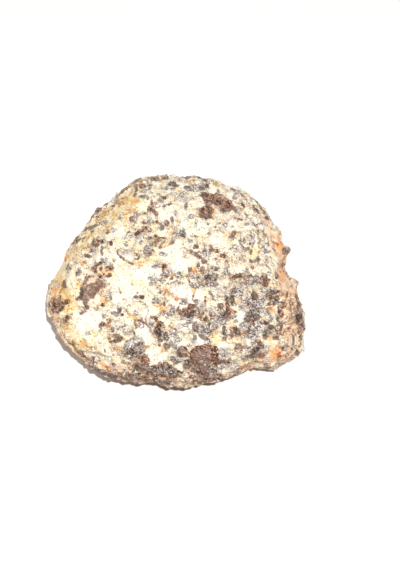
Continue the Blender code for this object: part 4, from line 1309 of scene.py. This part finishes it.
class Stone(Shader):
    """The stone's material. base is its colour so far, and each layer is laid over the ones before it."""

    def __init__(self):
        super().__init__("grainy_stone")
        self.fine = self.noise("fine")
        self.medium = self.noise("medium")
        self.rough = self.noise("rough")
        self.grime_and_shade = self.attribute("grime_and_shade")
        self.relief = self.attribute("relief")
        self.crumb = self.attribute("crumb")
        self.yellow = self.attribute("yellow")
        self.grimy_and_shaded = self.step(self.grime_and_shade, -0.25, 0.20)
        self.grit = self.times(self.fine, self.total((self.grimy_and_shaded, 1.0), (1.0, 0.9)))
        self.hue = self.total((self.noise("broad hue"), 1.0), (self.noise("close hue"), 0.6))
        self.base = None

    def cover(self, share, strength, colour):
        """Lays a colour over the base: where share is 1, by this strength."""
        self.base = self.mix(self.times(share, strength), self.base, colour)

    def tint(self, share, colour):
        """Multiplies the base by a colour where share is 1."""
        self.base = self.mix(share, self.base, self.mix(1.0, self.base, colour, "MULTIPLY"))

    def lay_ground(self):
        # Grime and the painted shade in it darken the ground mass.
        stained = self.total((self.hue, 1.0), (self.grime_and_shade, 0.40), (self.grit, 1.1), (self.yellow, 1.0))
        tone = self.total((stained, 1.0), (self.crumb, 0.04), (1.0, 0.32))
        self.base = self.ramp(tone, MATRIX_TONES)
        spots = self.noise("mottles")
        # Mottles gather in recesses, and their tone is paler on raised ground: painted shade from the relief.
        mottled = self.total((spots, 0.9), (self.grime_and_shade, 0.5), (self.fine, 1.1), (self.relief, -0.08))
        grainy = self.total((self.fine, 1.5), (self.medium, 0.4), (self.relief, 0.1))
        tone = self.total((grainy, 1.0), (self.crumb, 0.12), (1.0, 0.5))
        self.base = self.mix(self.step(mottled, 0.07, 0.20), self.base, self.ramp(tone, MOTTLE_TONES))

    def lay_cracks(self):
        patches = self.total((self.noise("cracked ground"), 1.0), (self.grime_and_shade, 0.2))
        edges = self.cells(4.5, 2.5, "DISTANCE_TO_EDGE")["Distance"]
        cracks = self.times(self.step(edges, 0.045, 0.01), self.step(patches, 0.02, 0.14))
        self.cover(cracks, *CRACKS)

    def lay_wrinkles(self):
        folds = self.total((self.noise("wrinkles"), 1.0), (self.fine, 0.12))
        patches = self.total((self.noise("wrinkled ground"), 1.0), (self.grime_and_shade, 0.6))
        narrow = self.step(self.maths("ABSOLUTE", folds), 0.042, 0.020)
        self.cover(self.times(narrow, self.step(patches, -0.02, 0.10)), *WRINKLES)

    def lay_stains_and_shade(self):
        straw = self.total((self.hue, 0.9), (self.yellow, 1.2))
        self.tint(self.step(straw, 0.06, 0.42), STRAW_TINT)
        peach = self.total((self.hue, 0.8), (self.attribute("peach"), 1.0))
        self.tint(self.step(peach, 0.08, 0.46), PEACH_TINT)
        # A brown film darkens grimy ground and lays painted shade, darker towards the bottom and under the
        # stone.
        grime_and_shade_film = self.total((self.grime_and_shade, 1.0), (self.medium, 0.4), (self.grit, 0.3))
        self.tint(self.step(grime_and_shade_film, 0.0, 0.60), GRIME_AND_SHADE_TINT)

    def lay_dark_spots(self):
        # Dark spots gather on grimy ground and, as painted shade, in recesses.
        spots = self.total((self.rough, 1.0), (self.grime_and_shade, 0.42), (self.medium, 0.2), (self.relief, -0.14))
        tone = self.total((self.fine, 1.6), (self.hue, 0.3), (self.crumb, 0.10), (1.0, 0.5))
        self.cover(self.step(spots, 0.24, 0.28), DARK_SPOTS, self.ramp(tone, DARK_TONES))

    def lay_grains(self, layers):
        wobble = self.total((self.medium, 0.6), (self.rough, 1.1), (self.fine, 1.1))
        # Inside the grains, raised ground is painted paler and recesses darker.
        shade = self.total((self.medium, 0.7), (self.relief, 0.16), (self.crumb, 0.10), (1.0, 0.5))
        for name, stops, share, soft, graininess in layers:
            inside = self.step(self.maths("ADD", self.attribute(name), wobble), -soft, soft)
            tones = self.total((self.fine, graininess), (shade, 1.0))
            self.cover(inside, share, self.ramp(tones, stops))

    def lay_small_marks(self):
        """Specks, orange stains, lower grains, painted glints standing for highlights, and upper grains.
        Gives where the specks are.
        """
        cells = self.cells(0.80, 0.4, "F1")
        random = self.node("ShaderNodeSeparateColor", {0: cells["Color"]}).outputs
        chosen = self.step(self.total((random["Red"], 1.0), (self.grimy_and_shaded, -0.22)), 0.11, 0.07)
        speck = self.times(chosen, self.step(cells["Distance"], 0.45, 0.27))
        self.cover(speck, SPECKS, self.mix(self.step(random["Green"], 0.4, 0.6), *SPECK_COLOURS))
        orange = self.total((self.attribute("orange"), 1.0), (self.medium, 3.0), (self.fine, 2.0))
        self.tint(self.times(self.step(orange, -0.9, 0.9), ORANGE), ORANGE_TINT)
        self.lay_grains(LOWER_GRAINS)
        # Painted highlights: pale glints on the grains, more of them on grimy and shaded ground.
        painted_glint = self.step(self.total((random["Blue"], 1.0), (self.grimy_and_shaded, 0.22)), 0.98, 1.03)
        self.cover(self.times(painted_glint, self.step(cells["Distance"], 0.48, 0.30)), *PAINTED_GLINTS)
        self.lay_grains(UPPER_GRAINS)
        return speck

    def finish(self, speck):
        height = self.total((self.fine, 2.0), (self.noise("bump"), 1.0), (speck, -0.6))
        inputs = {"Strength": BUMP_STRENGTH, "Distance": BUMP_DEPTH * MM, "Height": height}
        bump = self.node("ShaderNodeBump", inputs)
        self.feed(self.surface.inputs["Base Color"], self.base)
        self.feed(self.surface.inputs["Roughness"], ROUGHNESS)
        self.feed(self.surface.inputs["Normal"], bump.outputs["Normal"])


def stone_material():
    stone = Stone()
    stone.lay_ground()
    stone.lay_cracks()
    stone.lay_wrinkles()
    stone.lay_stains_and_shade()
    stone.lay_dark_spots()
    stone.finish(stone.lay_small_marks())
    return stone.material


# -------------------------------------------------- surroundings


def add_floor():
    mesh = bpy.data.meshes.new("floor")
    sides = ((-1, -1), (1, -1), (1, 1), (-1, 1))
    mesh.from_pydata([(x * FLOOR_REACH, y * FLOOR_REACH, -FLOOR_DROP) for x, y in sides], [], [(0, 1, 2, 3)])
    material = bpy.data.materials.new("floor")
    material.use_nodes = True
    inputs = material.node_tree.nodes["Principled BSDF"].inputs
    inputs["Base Color"].default_value = FLOOR_COLOUR
    inputs["Roughness"].default_value = FLOOR_ROUGHNESS
    inputs["Specular IOR Level"].default_value = 0.0
    mesh.materials.append(material)
    floor = link_object("floor", mesh)


def add_lights():
    low, high = CAD_BOX
    middle = np.array((low + high) / 2)
    for name, (turn, rise, distance, size, power) in LIGHTS.items():
        turn, rise = math.radians(turn), math.radians(rise)
        back = np.array((math.sin(turn) * math.cos(rise), -math.cos(turn) * math.cos(rise), math.sin(rise)))
        data = bpy.data.lights.new(name, "AREA")
        data.shape = "DISK"
        data.size = size
        data.energy = power
        light = link_object(name, data)
        light.location = Vector(middle + back * distance)
        light.rotation_mode = "QUATERNION"
        light.rotation_quaternion = Vector(-back).to_track_quat("-Z", "Y")


def add_fill():
    world = bpy.data.worlds.new("studio")
    world.use_nodes = True
    inputs = world.node_tree.nodes["Background"].inputs
    inputs["Color"].default_value = FILL_COLOUR
    inputs["Strength"].default_value = FILL_STRENGTH
    bpy.context.scene.world = world


def set_colour_handling():
    settings = bpy.context.scene.view_settings
    settings.view_transform = "Standard"
    settings.look = "None"


def make_rock(eye):
    skin = make_skin()
    tree = skin.tree()
    hidden = hidden_share(skin)
    # Surfaces that face down are painted in shade.
    underside_shade = smooth_step(-skin.normals()[:, 2], 0.05, 0.45)
    lift = seen_forms(skin, tree, eye) + drop_ledges(skin, eye)
    strewn = {name: Marks(skin) for name in STREWN}
    for name, numbers in STREWN.items():
        strew_grains(strewn[name], lift, *numbers)
    kinds = find_kinds(skin, tree, eye, strewn, hidden)
    # The tone washes carry painted light and shade as well as the stone's own tone.
    tone = add_washes(skin, tree, eye, TONE_LIGHT_AND_SHADE_WASHES)
    roughen(skin, lift, kinds, grime_and_shade_on(skin, kinds, tone, hidden, underside_shade))
    trim_rim(skin, skin.tree(), eye)
    skin.points[:, 2] = np.maximum(skin.points[:, 2], 0.0)

    # The relief moves the points a little in the picture, so the grains and washes are laid once more where
    # they belong.
    tree = skin.tree()
    kinds = find_kinds(skin, tree, eye, strewn, hidden)
    for name, inside in kinds.items():
        store(skin.mesh, name, inside)
    tone = add_washes(skin, tree, eye, TONE_LIGHT_AND_SHADE_WASHES)
    store(skin.mesh, "grime_and_shade", grime_and_shade_on(skin, kinds, tone, hidden, underside_shade))
    store_stains(skin, tree, eye, hidden)
    store(skin.mesh, "crumb", np.zeros(len(skin.points)))
    material = stone_material()
    finish_skin(skin, material)
    strew_crumbs(skin, material)


def main():
    set_colour_handling()
    eye = find_eye(solid_points())
    add_camera(eye)
    make_rock(eye)
    add_floor()
    add_lights()
    add_fill()


main()
